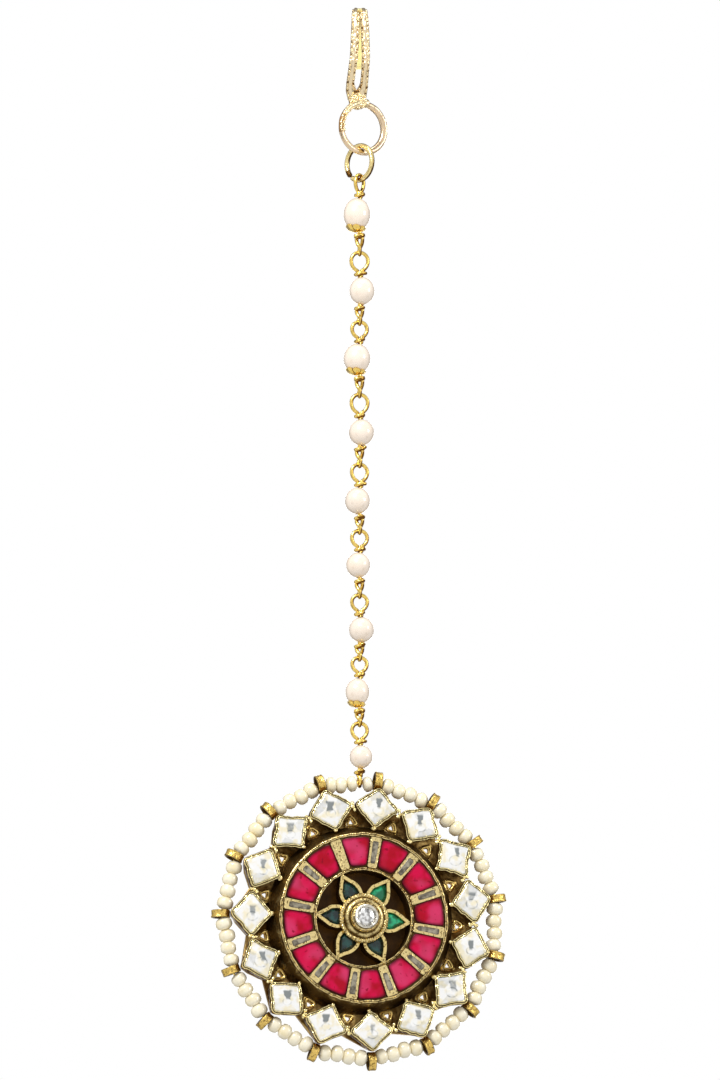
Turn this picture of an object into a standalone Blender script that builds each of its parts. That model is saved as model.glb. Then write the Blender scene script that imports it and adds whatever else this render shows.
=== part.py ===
"""A maang tikka: a round stone-set jewel on a line of wired pearls, under a hair hook.

It faces -Y and hangs down -Z from the origin, which is the inside of the hook's top
bend. X is to the right as the jewel is seen. Everything is in metres.
"""
import math

import bmesh
import bpy
from mathutils import Matrix, Vector

# Clearances and solder
STONE_GAP = 0.00008
PIECE_GAP = 0.0001
SOLDER = 0.0003

# Hair hook and its ring
HOOK_GAP = 0.0050
HOOK_THICK = 0.0009
HOOK_HEIGHT = 0.0123
HOOK_WIDTH = 0.0031
HOOK_TAIL = 0.0066
HOOK_SLOT = 0.00065
HOOK_TURN = math.radians(-11)
RING_ACROSS = 0.0079
RING_WIRE = 0.00105
RING_SHIFT = 0.00045
RING_TURN = math.radians(17)
LUG_ACROSS = 0.0025
LUG_HEIGHT = 0.0022
LUG_THICK = 0.0012
LUG_SHIFT = 0.0004

# Jump ring
JUMP_ACROSS = 0.0056
JUMP_WIRE = 0.00075
JUMP_SPLIT = 0.0004
JUMP_OPENING = math.radians(222)
JUMP_TURN = math.radians(-56)

# Chain of wired pearls
PEARL_ACROSS = 0.0036
CHAIN_WIRE = 0.00048
LOOP_HEIGHT = 0.0026
LOOP_WIDTH = 0.0023
LOWER_LOOP_WIDTH = 0.0014
WRAP_ACROSS = 0.0016
WRAP_HEIGHT = 0.00075
CAP_THICK = 0.00018
CAP_ACROSS = 0.0027
CAP_NOTCH = 0.82

# Ring of white stones in diamond collets
STONES = 15
STONE_TURN = math.radians(7.3)
STONE_ACROSS = 0.0055
STONE_ALONG = 0.0050
COLLET_WALL = 0.00045
COLLET_FRONT = -0.0018
COLLET_BACK = 0.0016

# Eyelets and the pearls strung through them
EYELET_ACROSS = 0.00264
EYELET_BORE = 0.00156
EYELET_WIDTH = 0.00115
EDGE_WIRE = 0.0004
EDGE_PEARL_ACROSS = 0.0021
EDGE_PEARLS_IN_BAY = 4
PEARLS_LEFT_OF_CHAIN = 3
HANGING_GAP = 0.00075

# Wheel of red stones round the well
WELL_RADIUS = 0.0067
WHEEL_SLOPE = 0.0011
WHEEL_FRONT = -0.0026
WHEEL_RIM = 0.0006
RUBIES = 12
RUBY_TURN = math.radians(24)
RUBY_PROUD = 0.0002
RUBY_DEPTH = 0.0015
BAR_WIDTH = 0.0011
BAR_PROUD = 0.0002
WELL_FLOOR = 0.0006

# Pierced back plate
PLATE_BACK = 0.0021
PLATE_THICK = 0.0008
PIERCING_ACROSS = 0.0019

# Petals and centre boss
PETALS = 6
PETAL_TURN = math.radians(33.5)
PETAL_WIDTH = 0.0032
PETAL_WALL = 0.00038
PETAL_FRONT = -0.0021
PETAL_STONE_DEPTH = 0.0012
BOSS_ACROSS = 0.0064
BOSS_FRONT = -0.0029
COLLAR_ACROSS = 0.0042
COLLAR_FRONT = -0.0044
CENTRE_ACROSS = 0.0029
CENTRE_PROUD = 0.0004
CENTRE_DEPTH = 0.0008

# Each pearl unit of the chain, from the hook down: pearl width, pearl height and the
# pearl's shift to the right as shares of PEARL_ACROSS; top and bottom loop heights as
# shares of LOOP_HEIGHT; top loop width as a share of LOOP_WIDTH; how far the top and
# the bottom loop are turned about the chain, in degrees; whether a cap sits below
CHAIN = (
    {"wide": 1.06, "high": 1.28, "shift": -0.10, "top": 1.00, "bottom": 0.92, "loop": 0.72,
     "turn": 34, "turn_below": 84, "cap": True},
    {"wide": 0.99, "high": 1.09, "shift": 0.10, "top": 1.08, "bottom": 0.77, "loop": 1.04,
     "turn": -4, "turn_below": 92, "cap": False},
    {"wide": 1.06, "high": 1.17, "shift": -0.10, "top": 0.93, "bottom": 0.87, "loop": 0.96,
     "turn": 4, "turn_below": 87, "cap": True},
    {"wide": 0.99, "high": 1.05, "shift": 0.08, "top": 1.07, "bottom": 0.85, "loop": 1.02,
     "turn": -3, "turn_below": 94, "cap": False},
    {"wide": 0.99, "high": 1.05, "shift": -0.08, "top": 1.00, "bottom": 0.73, "loop": 1.00,
     "turn": 5, "turn_below": 90, "cap": False},
    {"wide": 0.95, "high": 1.01, "shift": -0.05, "top": 0.91, "bottom": 0.75, "loop": 0.97,
     "turn": 2, "turn_below": 88, "cap": False},
    {"wide": 0.99, "high": 1.01, "shift": 0.08, "top": 0.92, "bottom": 0.65, "loop": 0.95,
     "turn": -5, "turn_below": 92, "cap": False},
    {"wide": 0.95, "high": 1.09, "shift": -0.08, "top": 0.85, "bottom": 0.66, "loop": 0.93,
     "turn": 3, "turn_below": 91, "cap": True},
    {"wide": 0.91, "high": 0.93, "shift": 0.06, "top": 0.91, "bottom": 0.66, "loop": 0.95,
     "turn": 0, "turn_below": 90, "cap": False},
)

# Sides of round pieces, the distance within which points are one and the angle below
# which faces are one
WIRE_LOOP_POINTS = 8
WIRE_SIDES = 6
RING_SIDES = 16
ROUND_SIDES = 12
BEAD_SIDES = 10
BORE_SIDES = 8
WHEEL_SIDES = 30
WELD = 0.000002
FLAT = math.radians(0.3)

# What follows from the sizes above
BAY = math.tau / STONES
COLLET_ACROSS = STONE_ACROSS + 2 * (STONE_GAP + COLLET_WALL)
COLLET_ALONG = STONE_ALONG + 2 * (STONE_GAP + COLLET_WALL)
STONE_RING = COLLET_ACROSS / 2 / math.sin(BAY / 2)
COLLET_INNER = STONE_RING - COLLET_ALONG / 2
COLLET_OUTER = STONE_RING + COLLET_ALONG / 2
WHEEL_BASE = COLLET_INNER + SOLDER
WHEEL_RADIUS = WHEEL_BASE - WHEEL_SLOPE
EYELET_RING = COLLET_OUTER - SOLDER + EYELET_ACROSS / 2
EDGE_PLAY = EYELET_BORE - EDGE_WIRE
EDGE_RING = EYELET_RING - EDGE_PLAY / 8
BAY_CHORD = 2 * EDGE_RING * math.sin(BAY / 2)
BAY_FREE = BAY_CHORD - EYELET_WIDTH - 2 * PIECE_GAP
CHORD_HEIGHT = EDGE_RING * math.cos(BAY / 2)
TOP_CHORD_TURN = STONE_TURN - BAY / 2
TOP_PEARL_LONG = (BAY_FREE - HANGING_GAP) / EDGE_PEARLS_IN_BAY
HANG_ALONG = TOP_PEARL_LONG * PEARLS_LEFT_OF_CHAIN + HANGING_GAP / 2 - BAY_FREE / 2
PETAL_FOOT = BOSS_ACROSS * 0.42


def clear_scene():
    for thing in list(bpy.data.objects):
        bpy.data.objects.remove(thing)


def surface(name, colour, roughness, metallic=0.0):
    """A plain Principled material."""
    finish = bpy.data.materials.new(name)
    finish.use_nodes = True
    shader = finish.node_tree.nodes["Principled BSDF"]
    shader.inputs["Base Color"].default_value = (*colour, 1)
    shader.inputs["Roughness"].default_value = roughness
    shader.inputs["Metallic"].default_value = metallic
    return finish


def plain_mesh(thing):
    """The evaluated shape of an object as a welded mesh in world space; the object goes."""
    bpy.context.view_layer.update()
    seen = thing.evaluated_get(bpy.context.evaluated_depsgraph_get())
    mesh = bpy.data.meshes.new_from_object(seen)
    mesh.transform(thing.matrix_world)
    bpy.data.objects.remove(thing)
    shape = bmesh.new()
    shape.from_mesh(mesh)
    bmesh.ops.remove_doubles(shape, verts=shape.verts, dist=WELD)
    bmesh.ops.dissolve_limit(shape, angle_limit=FLAT, verts=shape.verts, edges=shape.edges)
    bmesh.ops.triangulate(shape, faces=shape.faces, ngon_method="EAR_CLIP")
    bmesh.ops.recalc_face_normals(shape, faces=shape.faces)
    shape.to_mesh(mesh)
    shape.free()
    return mesh


def helper(data):
    """An object that only lives while a mesh is worked out."""
    thing = bpy.data.objects.new("helper", data)
    bpy.context.scene.collection.objects.link(thing)
    return thing


def boolean(mesh, tools, operation):
    """Join meshes to a mesh, or cut them out of it."""
    body = helper(mesh)
    held = [helper(tool) for tool in tools]
    for tool in held:
        step = body.modifiers.new("step", "BOOLEAN")
        step.operation = operation
        step.solver = "EXACT"
        step.object = tool
    result = plain_mesh(body)
    for tool in held:
        bpy.data.objects.remove(tool)
    return result


def turned(profile, sides):
    """A shape turned about Z, from (radius, height) points."""
    mesh = bpy.data.meshes.new("profile")
    points = [(radius, 0, height) for radius, height in profile]
    edges = [(i, i + 1) for i in range(len(points) - 1)]
    if profile[0][0] > 0:
        edges.append((len(points) - 1, 0))
    mesh.from_pydata(points, edges, [])
    thing = helper(mesh)
    screw = thing.modifiers.new("turn", "SCREW")
    screw.steps = sides
    screw.render_steps = sides
    screw.use_merge_vertices = True
    screw.merge_threshold = WELD
    return plain_mesh(thing)


def slab(outlines, front, back):
    """A plate facing -Y between two depths; an outline inside another is a hole."""
    curve = bpy.data.curves.new("outline", "CURVE")
    curve.dimensions = "2D"
    curve.fill_mode = "BOTH"
    curve.extrude = (back - front) / 2
    for outline in outlines:
        spline = curve.splines.new("POLY")
        spline.points.add(len(outline) - 1)
        for point, (across, up) in zip(spline.points, outline):
            point.co = (across, up, 0, 1)
        spline.use_cyclic_u = True
    plate = helper(curve)
    plate.rotation_euler.x = math.radians(90)
    plate.location.y = (front + back) / 2
    return plain_mesh(plate)


def wire(points, thickness):
    """A round wire through points, with closed ends."""
    curve = bpy.data.curves.new("wire", "CURVE")
    curve.dimensions = "3D"
    curve.bevel_depth = thickness / 2
    curve.bevel_resolution = 1
    curve.use_fill_caps = True
    spline = curve.splines.new("POLY")
    spline.points.add(len(points) - 1)
    for point, place in zip(spline.points, points):
        point.co = (*place, 1)
    return plain_mesh(helper(curve))


def loft(rings, closed=False):
    """A skin through rings of equally many points, closed on itself or capped."""
    shape = bmesh.new()
    rows = [[shape.verts.new(point) for point in ring] for ring in rings]
    steps = list(zip(rows, rows[1:]))
    if closed:
        steps.append((rows[-1], rows[0]))
    else:
        shape.faces.new(rows[0])
        shape.faces.new(rows[-1])
    for row, after in steps:
        for i in range(len(row)):
            shape.faces.new((row[i], row[i - 1], after[i - 1], after[i]))
    bmesh.ops.recalc_face_normals(shape, faces=shape.faces)
    mesh = bpy.data.meshes.new("loft")
    shape.to_mesh(mesh)
    shape.free()
    return mesh


def ball(across, high, sides, rings):
    """A ball or egg about the origin, its poles on Z."""
    shape = bmesh.new()
    bmesh.ops.create_uvsphere(shape, u_segments=sides, v_segments=rings, radius=0.5)
    bmesh.ops.scale(shape, vec=(across, across, high), verts=shape.verts)
    mesh = bpy.data.meshes.new("ball")
    shape.to_mesh(mesh)
    shape.free()
    return mesh


def ring(across, thickness, sides):
    """A closed ring of round wire in the XZ plane."""
    bpy.ops.mesh.primitive_torus_add(
        major_radius=(across - thickness) / 2, minor_radius=thickness / 2,
        major_segments=sides, minor_segments=WIRE_SIDES,
        rotation=(math.radians(90), 0, 0))
    return plain_mesh(bpy.context.object)


def many(mesh, places):
    """Copies of a mesh, one for each placing matrix, as one mesh."""
    shape = bmesh.new()
    for place in places:
        copy = mesh.copy()
        copy.transform(place)
        shape.from_mesh(copy)
    result = bpy.data.meshes.new("many")
    shape.to_mesh(result)
    shape.free()
    return result


def add(name, mesh, finish, parent=None, place=Vector(), turn=0.0):
    """Put a finished piece in the jewel's collection; turn is clockwise as seen."""
    mesh.materials.clear()
    mesh.materials.append(finish)
    mesh.shade_smooth()
    mesh.set_sharp_from_angle(angle=math.radians(30))
    piece = bpy.data.objects.new(name, mesh)
    piece.parent = parent
    piece.location = place
    piece.rotation_euler.y = turn
    bpy.data.collections["maang_tikka"].objects.link(piece)
    return piece


def clock(angle, radius):
    """The (across, up) point at a clockwise angle from the top and a radius."""
    return (radius * math.sin(angle), radius * math.cos(angle))


def round_the_clock(outline, count, first):
    """An outline drawn about the top of the jewel, repeated clockwise as one list each."""
    copies = []
    for k in range(count):
        angle = first + math.tau * k / count
        sine, cosine = math.sin(angle), math.cos(angle)
        copies.append([(across * cosine + up * sine, up * cosine - across * sine)
                       for across, up in outline])
    return copies


# Hair hook

# Sections along the hook from its foot to its tail: how far along its front leg, bend
# and back leg together they lie, and the width and relief as shares of full
HOOK_SECTIONS = (
    {"along": 0.00, "wide": 0.80, "relief": 0.6},
    {"along": 0.05, "wide": 1.00, "relief": 1.0},
    {"along": 0.11, "wide": 1.00, "relief": 1.0},
    {"along": 0.17, "wide": 0.97, "relief": 1.0},
    {"along": 0.24, "wide": 0.93, "relief": 1.0},
    {"along": 0.32, "wide": 0.86, "relief": 1.0},
    {"along": 0.40, "wide": 0.78, "relief": 1.0},
    {"along": 0.46, "wide": 0.72, "relief": 1.0},
    {"along": 0.51, "wide": 0.68, "relief": 1.0},
    {"along": 0.56, "wide": 0.64, "relief": 0.9},
    {"along": 0.61, "wide": 0.58, "relief": 0.5},
    {"along": 0.66, "wide": 0.52, "relief": 0.0},
    {"along": 0.71, "wide": 0.48, "relief": 0.0},
    {"along": 0.80, "wide": 0.46, "relief": 0.0},
    {"along": 0.90, "wide": 0.46, "relief": 0.0},
    {"along": 0.97, "wide": 0.42, "relief": 0.0},
    {"along": 1.00, "wide": 0.30, "relief": 0.0},
)

# Share of the front leg over which it rises forwards from the ring, share of the back
# leg after which it flares, and the height of a section without relief
HOOK_RISE = 0.55
HOOK_FLARE = 0.6
HOOK_PLAIN = 0.8

# Where the slot begins over the foot, in thicknesses of the hook, the share of its
# length at which it is widest, and its width at the top as a share of that
SLOT_START = 1.6
SLOT_KNEE = 0.18
SLOT_TAPER = 0.125

# Across a section, as shares of its half width and of the hook's thickness: two
# strips with a groove between them
HOOK_ACROSS = ((-1.0, 0.0), (-1.0, 0.55), (-0.75, 1.0), (-0.25, 1.0), (0.0, 0.6),
               (0.25, 1.0), (0.75, 1.0), (1.0, 0.55), (1.0, 0.0))


def hook_route(along):
    """Where the hook's middle line runs, as (depth, height, angle of its outer side)."""
    bend = (HOOK_GAP + HOOK_THICK) / 2
    top = -HOOK_GAP / 2
    front = HOOK_HEIGHT + SOLDER + top
    lengths = (front, math.pi * bend, HOOK_TAIL)
    travel = along * sum(lengths)
    if travel < front:
        height = top - front + travel
        rise = front * HOOK_RISE
        sway = min(1.0, travel / rise)
        depth = -bend * (1 - math.cos(math.pi * sway)) / 2
        slope = bend * math.pi / 2 * math.sin(math.pi * sway) / rise
        return depth, height, math.atan(slope)
    if travel < front + lengths[1]:
        angle = (travel - front) / bend
        return -bend * math.cos(angle), top + bend * math.sin(angle), -angle
    down = travel - front - lengths[1]
    flare = max(0.0, down / HOOK_TAIL - HOOK_FLARE)
    return bend + flare * HOOK_THICK, top - down, -math.pi


def hook_band():
    """The hook's band, from its foot up the front, over the bend and down the back."""
    rings = []
    for section in HOOK_SECTIONS:
        depth, height, angle = hook_route(section["along"])
        outwards = Vector((0, -math.cos(angle), -math.sin(angle)))
        middle = Vector((0, depth, height))
        half = HOOK_WIDTH / 2 * section["wide"]
        points = []
        for across, level in HOOK_ACROSS:
            flat = HOOK_PLAIN if level else 0
            lift = flat + (level - flat) * section["relief"]
            out = HOOK_THICK * (lift - 0.5)
            points.append(middle + Vector((across * half, 0, 0)) + outwards * out)
        rings.append(points)
    return loft(rings)


def hook_slot():
    """The cutter for the slot between the two strips, widest near the foot."""
    low = -HOOK_HEIGHT + HOOK_THICK * SLOT_START
    high = -HOOK_GAP / 2
    knee = low + (high - low) * SLOT_KNEE
    wide, narrow = HOOK_SLOT / 2, HOOK_SLOT / 2 * SLOT_TAPER
    outline = [(0, low), (wide, knee), (narrow, high), (-narrow, high), (-wide, knee)]
    return slab([outline], -HOOK_GAP, -HOOK_THICK * 0.4)


def ring_centre():
    return Vector((RING_SHIFT, 0, -HOOK_HEIGHT - RING_ACROSS / 2))


def make_hook(gold):
    """The hook, the lug over its foot and the ring soldered under it."""
    band = boolean(hook_band(), [hook_slot()], "DIFFERENCE")
    lug = ball(LUG_ACROSS, LUG_HEIGHT, BORE_SIDES, WIRE_SIDES)
    lug.transform(Matrix.Diagonal((1, LUG_THICK / LUG_ACROSS, 1, 1)))
    lug.transform(Matrix.Translation((-LUG_SHIFT, -HOOK_THICK * 0.3,
                                      -HOOK_HEIGHT + HOOK_THICK * 0.2)))
    hook = boolean(band, [lug], "UNION")
    hook.transform(Matrix.Rotation(HOOK_TURN, 4, "Z"))
    loop = ring(RING_ACROSS, RING_WIRE, RING_SIDES)
    loop.transform(Matrix.Translation(ring_centre()) @ Matrix.Rotation(RING_TURN, 4, "Z"))
    add("hair_hook", boolean(hook, [loop], "UNION"), gold)


# Jump ring

def jump_centre():
    """The jump ring hangs on the lowest stretch of the hook's ring."""
    ring_low = ring_centre().z - (RING_ACROSS - RING_WIRE) / 2
    top = ring_low + (RING_WIRE + JUMP_WIRE) / 2 + PIECE_GAP
    return Vector((0, 0, top - (JUMP_ACROSS - JUMP_WIRE) / 2))


def make_jump_ring(gold):
    """A ring of wire whose ends almost meet at the lower left."""
    radius = (JUMP_ACROSS - JUMP_WIRE) / 2
    opening = JUMP_SPLIT / radius
    start = JUMP_OPENING + opening / 2
    points = []
    for i in range(ROUND_SIDES + 1):
        angle = start + (math.tau - opening) * i / ROUND_SIDES
        points.append((radius * math.sin(angle), 0, radius * math.cos(angle)))
    mesh = wire(points, JUMP_WIRE)
    mesh.transform(Matrix.Rotation(JUMP_TURN, 4, "Z"))
    add("jump_ring", mesh, gold, place=jump_centre())


# Chain

# Widest value of the drop shape's formula, how far a loop's leg stands from the middle
# as a share of the wire, and the share of its radius that a wrap keeps at its ends
DROP_BELLY = 0.77
LEG_SHARE = 0.54
WRAP_END = 0.8


def chain_links():
    """The chain's units with their heights worked out from the jump ring down."""
    links = []
    carrier = jump_centre().z - (JUMP_ACROSS - JUMP_WIRE) / 2
    carrier_wire = JUMP_WIRE
    for unit in CHAIN:
        link = dict(unit)
        link["loop_top"] = carrier + (carrier_wire + CHAIN_WIRE) / 2 + PIECE_GAP
        link["neck_top"] = link["loop_top"] - unit["top"] * LOOP_HEIGHT
        link["pearl_top"] = link["neck_top"] - WRAP_HEIGHT - PIECE_GAP
        link["pearl_low"] = link["pearl_top"] - unit["high"] * PEARL_ACROSS
        cap = CAP_THICK + PIECE_GAP if unit["cap"] else 0
        link["neck_low"] = link["pearl_low"] - PIECE_GAP - cap - WRAP_HEIGHT
        link["loop_low"] = link["neck_low"] - unit["bottom"] * LOOP_HEIGHT
        carrier = link["loop_low"]
        carrier_wire = CHAIN_WIRE
        links.append(link)
    return links


def hang_height(links):
    """Where the edge wire of the jewel lies in the chain's last loop."""
    return links[-1]["loop_low"] + (EDGE_WIRE + CHAIN_WIRE) / 2 + PIECE_GAP


def drop_loop(foot, height, width, turn, up):
    """A wire loop like a drop, whose two ends stand side by side in the neck."""
    half = width / 2 / DROP_BELLY
    leg = CHAIN_WIRE * LEG_SHARE
    points = [(leg, 0, foot - up * WRAP_HEIGHT / 2)]
    for i in range(1, WIRE_LOOP_POINTS + 1):
        angle = math.tau * i / (WIRE_LOOP_POINTS + 1)
        across = half * math.sin(angle) * math.sin(angle / 2)
        rise = height * (1 - math.cos(angle)) / 2
        if rise < height / 2:
            across = math.copysign(max(leg, abs(across)), across)
        points.append((across, 0, foot + up * rise))
    points.append((-leg, 0, foot - up * WRAP_HEIGHT / 2))
    mesh = wire(points, CHAIN_WIRE)
    mesh.transform(Matrix.Rotation(turn, 4, "Z"))
    return mesh


def make_wire(name, link, gold):
    """One wire: its stem through the pearl, a wrap at each end and two loops."""
    stem = CHAIN_WIRE / 2
    wrap = WRAP_ACROSS / 2
    end = wrap * WRAP_END
    high = (link["neck_top"] - link["neck_low"]) / 2
    inner = high - WRAP_HEIGHT
    belly = high - WRAP_HEIGHT / 2
    upper_half = [(0, high), (end, high), (wrap, belly), (end, inner), (stem, inner)]
    lower_half = [(radius, -height) for radius, height in reversed(upper_half)]
    spindle = turned(upper_half + lower_half, WIRE_SIDES)
    middle = (link["neck_top"] + link["neck_low"]) / 2
    upper = drop_loop(high, link["top"] * LOOP_HEIGHT, link["loop"] * LOOP_WIDTH,
                      math.radians(link["turn"]), 1)
    lower = drop_loop(-high, link["bottom"] * LOOP_HEIGHT, LOWER_LOOP_WIDTH,
                      math.radians(link["turn_below"]), -1)
    add(name, boolean(spindle, [upper, lower], "UNION"), gold, place=(0, 0, middle))


def wire_bore(reach):
    """The cutter for the hole that the chain's wire runs through."""
    radius = CHAIN_WIRE / 2 + PIECE_GAP
    return turned([(0, reach), (radius, reach), (radius, -reach), (0, -reach)], BORE_SIDES)


def make_pearl(name, link, nacre):
    """A pearl bored for its wire, a little to one side."""
    wide = link["wide"] * PEARL_ACROSS
    high = link["pearl_top"] - link["pearl_low"]
    shift = link["shift"] * PEARL_ACROSS
    pearl = ball(wide, high, ROUND_SIDES, ROUND_SIDES // 2)
    pearl.transform(Matrix.Translation((shift, 0, 0)))
    middle = (link["pearl_top"] + link["pearl_low"]) / 2
    add(name, boolean(pearl, [wire_bore(high)], "DIFFERENCE"), nacre, place=(0, 0, middle))


def make_cap(name, link, gold):
    """A scalloped cup under a pearl, following its round and bored for the wire."""
    wide = link["wide"] * PEARL_ACROSS / 2
    high = (link["pearl_top"] - link["pearl_low"]) / 2

    def seat(radius):
        return -high * math.sqrt(1 - (radius / wide) ** 2) - PIECE_GAP

    edge = CAP_ACROSS / 2
    inside = [(edge * share, seat(edge * share)) for share in (0, 0.6, 1)]
    outside = [(radius, level - CAP_THICK) for radius, level in reversed(inside)]
    cup = turned([*inside, *outside], ROUND_SIDES)
    for vert in cup.vertices:
        spoke = round(math.atan2(vert.co.y, vert.co.x) / math.tau * ROUND_SIDES)
        radius = math.hypot(vert.co.x, vert.co.y)
        if spoke % 2 and radius > edge * 0.9:
            below = vert.co.z - seat(radius)
            vert.co *= CAP_NOTCH
            vert.co.z = seat(radius * CAP_NOTCH) + below
    cup.transform(Matrix.Translation((link["shift"] * PEARL_ACROSS, 0, 0)))
    middle = (link["pearl_top"] + link["pearl_low"]) / 2
    add(name, boolean(cup, [wire_bore(high * 2)], "DIFFERENCE"), gold, place=(0, 0, middle))


def make_chain(links, gold, nacre):
    for number, link in enumerate(links, 1):
        make_wire(f"chain_wire_{number}", link, gold)
        make_pearl(f"chain_pearl_{number}", link, nacre)
        if link["cap"]:
            make_cap(f"bead_cap_{number}", link, gold)


# Outlines of the jewel, each drawn about its top as (across, up) from the centre

# How much of a white stone's corners is cut off
CORNER_CUT = 0.07

# Corners of half a collet's outer edge, as shares of its half width and half height
COLLET_CORNERS = ({"across": 0.49, "along": 0.536}, {"across": 0.155, "along": 1.0})

# Corners of the back plate's edge behind a collet, as shares of the same
PLATE_CORNERS = ({"across": -0.3, "along": 0.72}, {"across": 0.0, "along": 0.93},
                 {"across": 0.3, "along": 0.72})

# Corners of half a red stone and half a petal: how far out each lies between the inner
# and the outer side, and its distance from the middle line as a share of the room there
RUBY_CORNERS = ({"out": 0.0, "wide": 0.38}, {"out": 0.02, "wide": 0.96},
                {"out": 0.93, "wide": 0.94}, {"out": 1.0, "wide": 0.35})
PETAL_CORNERS = ({"out": 0.0, "wide": 0.72}, {"out": 0.32, "wide": 1.0},
                 {"out": 0.66, "wide": 0.66}, {"out": 1.0, "wide": 0.08})

# How much shorter a pocket is at a leaf's tip, in widths of the wall between them
PETAL_POINT = 3.0


def diamond():
    """The white stone's outline, a diamond with cut corners."""
    across = STONE_ACROSS / 2
    along = STONE_ALONG / 2
    rest = 1 - CORNER_CUT
    quarter = [(across * CORNER_CUT, along * rest), (across * rest, along * CORNER_CUT)]
    half = quarter + [(x, -y) for x, y in reversed(quarter)]
    return half + [(-x, y) for x, y in reversed(half)]


def stone_pocket():
    """The opening in a collet, with sharp corners where the stone's are cut."""
    across = STONE_ACROSS / 2 + STONE_GAP
    along = STONE_ALONG / 2 + STONE_GAP
    return [(0, STONE_RING + along), (across, STONE_RING), (0, STONE_RING - along),
            (-across, STONE_RING)]


def collet_outer():
    """One collet's share of the scalloped outer edge, from its left joint."""
    joint = clock(-BAY / 2, STONE_RING + COLLET_WALL * 0.8)
    side = [(COLLET_ACROSS / 2 * corner["across"],
             STONE_RING + COLLET_ALONG / 2 * corner["along"]) for corner in COLLET_CORNERS]
    return [joint] + [(-x, y) for x, y in side] + side[::-1]


def collet_inner():
    """One collet's share of the inner edge, down to its tip on the wheel."""
    return [clock(-BAY / 2, STONE_RING - COLLET_WALL * 1.2), (0, COLLET_INNER)]


def ruby_outline(extra):
    """A red stone's outline: a wedge between two bars with a curved outer side."""
    inner = WELL_RADIUS + WHEEL_RIM - extra
    outer = WHEEL_RADIUS - WHEEL_RIM + extra
    half_step = math.pi / RUBIES
    side = BAR_WIDTH / 2 + WHEEL_RIM / 3 - extra
    half = []
    for corner in RUBY_CORNERS:
        radius = inner + (outer - inner) * corner["out"]
        room = (radius * math.sin(half_step) - side) / math.cos(half_step)
        half.append((room * corner["wide"], radius))
    return half + [(-x, y) for x, y in reversed(half)]


def petal_outline(inset):
    """A leaf from its foot at the boss to its tip in the wheel, drawn in by an inset."""
    wide = PETAL_WIDTH / 2 - inset
    foot = PETAL_FOOT + inset
    tip = WELL_RADIUS + SOLDER - inset * PETAL_POINT
    half = [(wide * corner["wide"], foot + (tip - foot) * corner["out"])
            for corner in PETAL_CORNERS]
    return half + [(-x, y) for x, y in reversed(half)]


def piercing():
    """The triangular hole in the back plate between two collets and the wheel."""
    low = WHEEL_BASE + SOLDER
    high = STONE_RING - COLLET_WALL * 2
    return [(-PIERCING_ACROSS / 2, low), (PIERCING_ACROSS / 2, low), (0, high)]


def joined(outlines):
    """One closed outline from the pieces that run on from each other."""
    return [point for outline in outlines for point in outline]


# Jewel's frame

def collet_ring():
    outer = joined(round_the_clock(collet_outer(), STONES, STONE_TURN))
    inner = joined(round_the_clock(collet_inner(), STONES, STONE_TURN))
    pockets = round_the_clock(stone_pocket(), STONES, STONE_TURN)
    return slab([outer, inner, *pockets], COLLET_FRONT, COLLET_BACK)


def back_plate():
    """The plate behind the collets, a little inside their edge, pierced between them."""
    edge = [clock(-BAY / 2, STONE_RING + COLLET_WALL * 0.45)]
    for corner in PLATE_CORNERS:
        edge.append((COLLET_ACROSS / 2 * corner["across"],
                     STONE_RING + COLLET_ALONG / 2 * corner["along"]))
    outer = joined(round_the_clock(edge, STONES, STONE_TURN))
    holes = round_the_clock(piercing(), STONES, STONE_TURN + BAY / 2)
    return slab([outer, *holes], PLATE_BACK - PLATE_THICK, PLATE_BACK)


def facing(profile, sides):
    """A turned shape whose axis points to the viewer, from (radius, depth) points."""
    mesh = turned([(radius, -depth) for radius, depth in profile], sides)
    mesh.transform(Matrix.Rotation(math.radians(90), 4, "X"))
    return mesh


def wheel():
    """The drum that holds the red stones, with its well, its floor and the bars on it."""
    back = PLATE_BACK - PLATE_THICK / 4
    drum = facing([
        (0, WELL_FLOOR), (WELL_RADIUS, WELL_FLOOR), (WELL_RADIUS, WHEEL_FRONT),
        (WHEEL_RADIUS, WHEEL_FRONT), (WHEEL_BASE, WHEEL_FRONT + 2 * WHEEL_SLOPE),
        (WHEEL_BASE, back), (0, back)], WHEEL_SIDES)
    pockets = round_the_clock(ruby_outline(STONE_GAP), RUBIES, RUBY_TURN)
    floor = WHEEL_FRONT - RUBY_PROUD + RUBY_DEPTH + STONE_GAP
    cutter = slab(pockets, WHEEL_FRONT - WHEEL_RIM, floor)
    return boolean(boolean(drum, [bars()], "UNION"), [cutter], "DIFFERENCE")


def bars():
    """The narrow raised bars between the red stones."""
    half = BAR_WIDTH / 2
    inner = WELL_RADIUS + WHEEL_RIM / 2
    outer = WHEEL_RADIUS - WHEEL_RIM / 2
    outline = [(-half, inner), (-half, outer), (half, outer), (half, inner)]
    outlines = round_the_clock(outline, RUBIES, RUBY_TURN + math.pi / RUBIES)
    return slab(outlines, WHEEL_FRONT - BAR_PROUD, WHEEL_FRONT + SOLDER)


def petal_walls():
    """The flower of leaf cells standing on the floor of the well."""
    hub = clock(-math.pi / PETALS, PETAL_FOOT * 0.8)
    rim = [hub, *reversed(petal_outline(0))]
    star = joined(round_the_clock(rim, PETALS, PETAL_TURN))
    pockets = round_the_clock(petal_outline(PETAL_WALL - STONE_GAP), PETALS, PETAL_TURN)
    return slab([star, *pockets], PETAL_FRONT, WELL_FLOOR + SOLDER)


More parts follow.
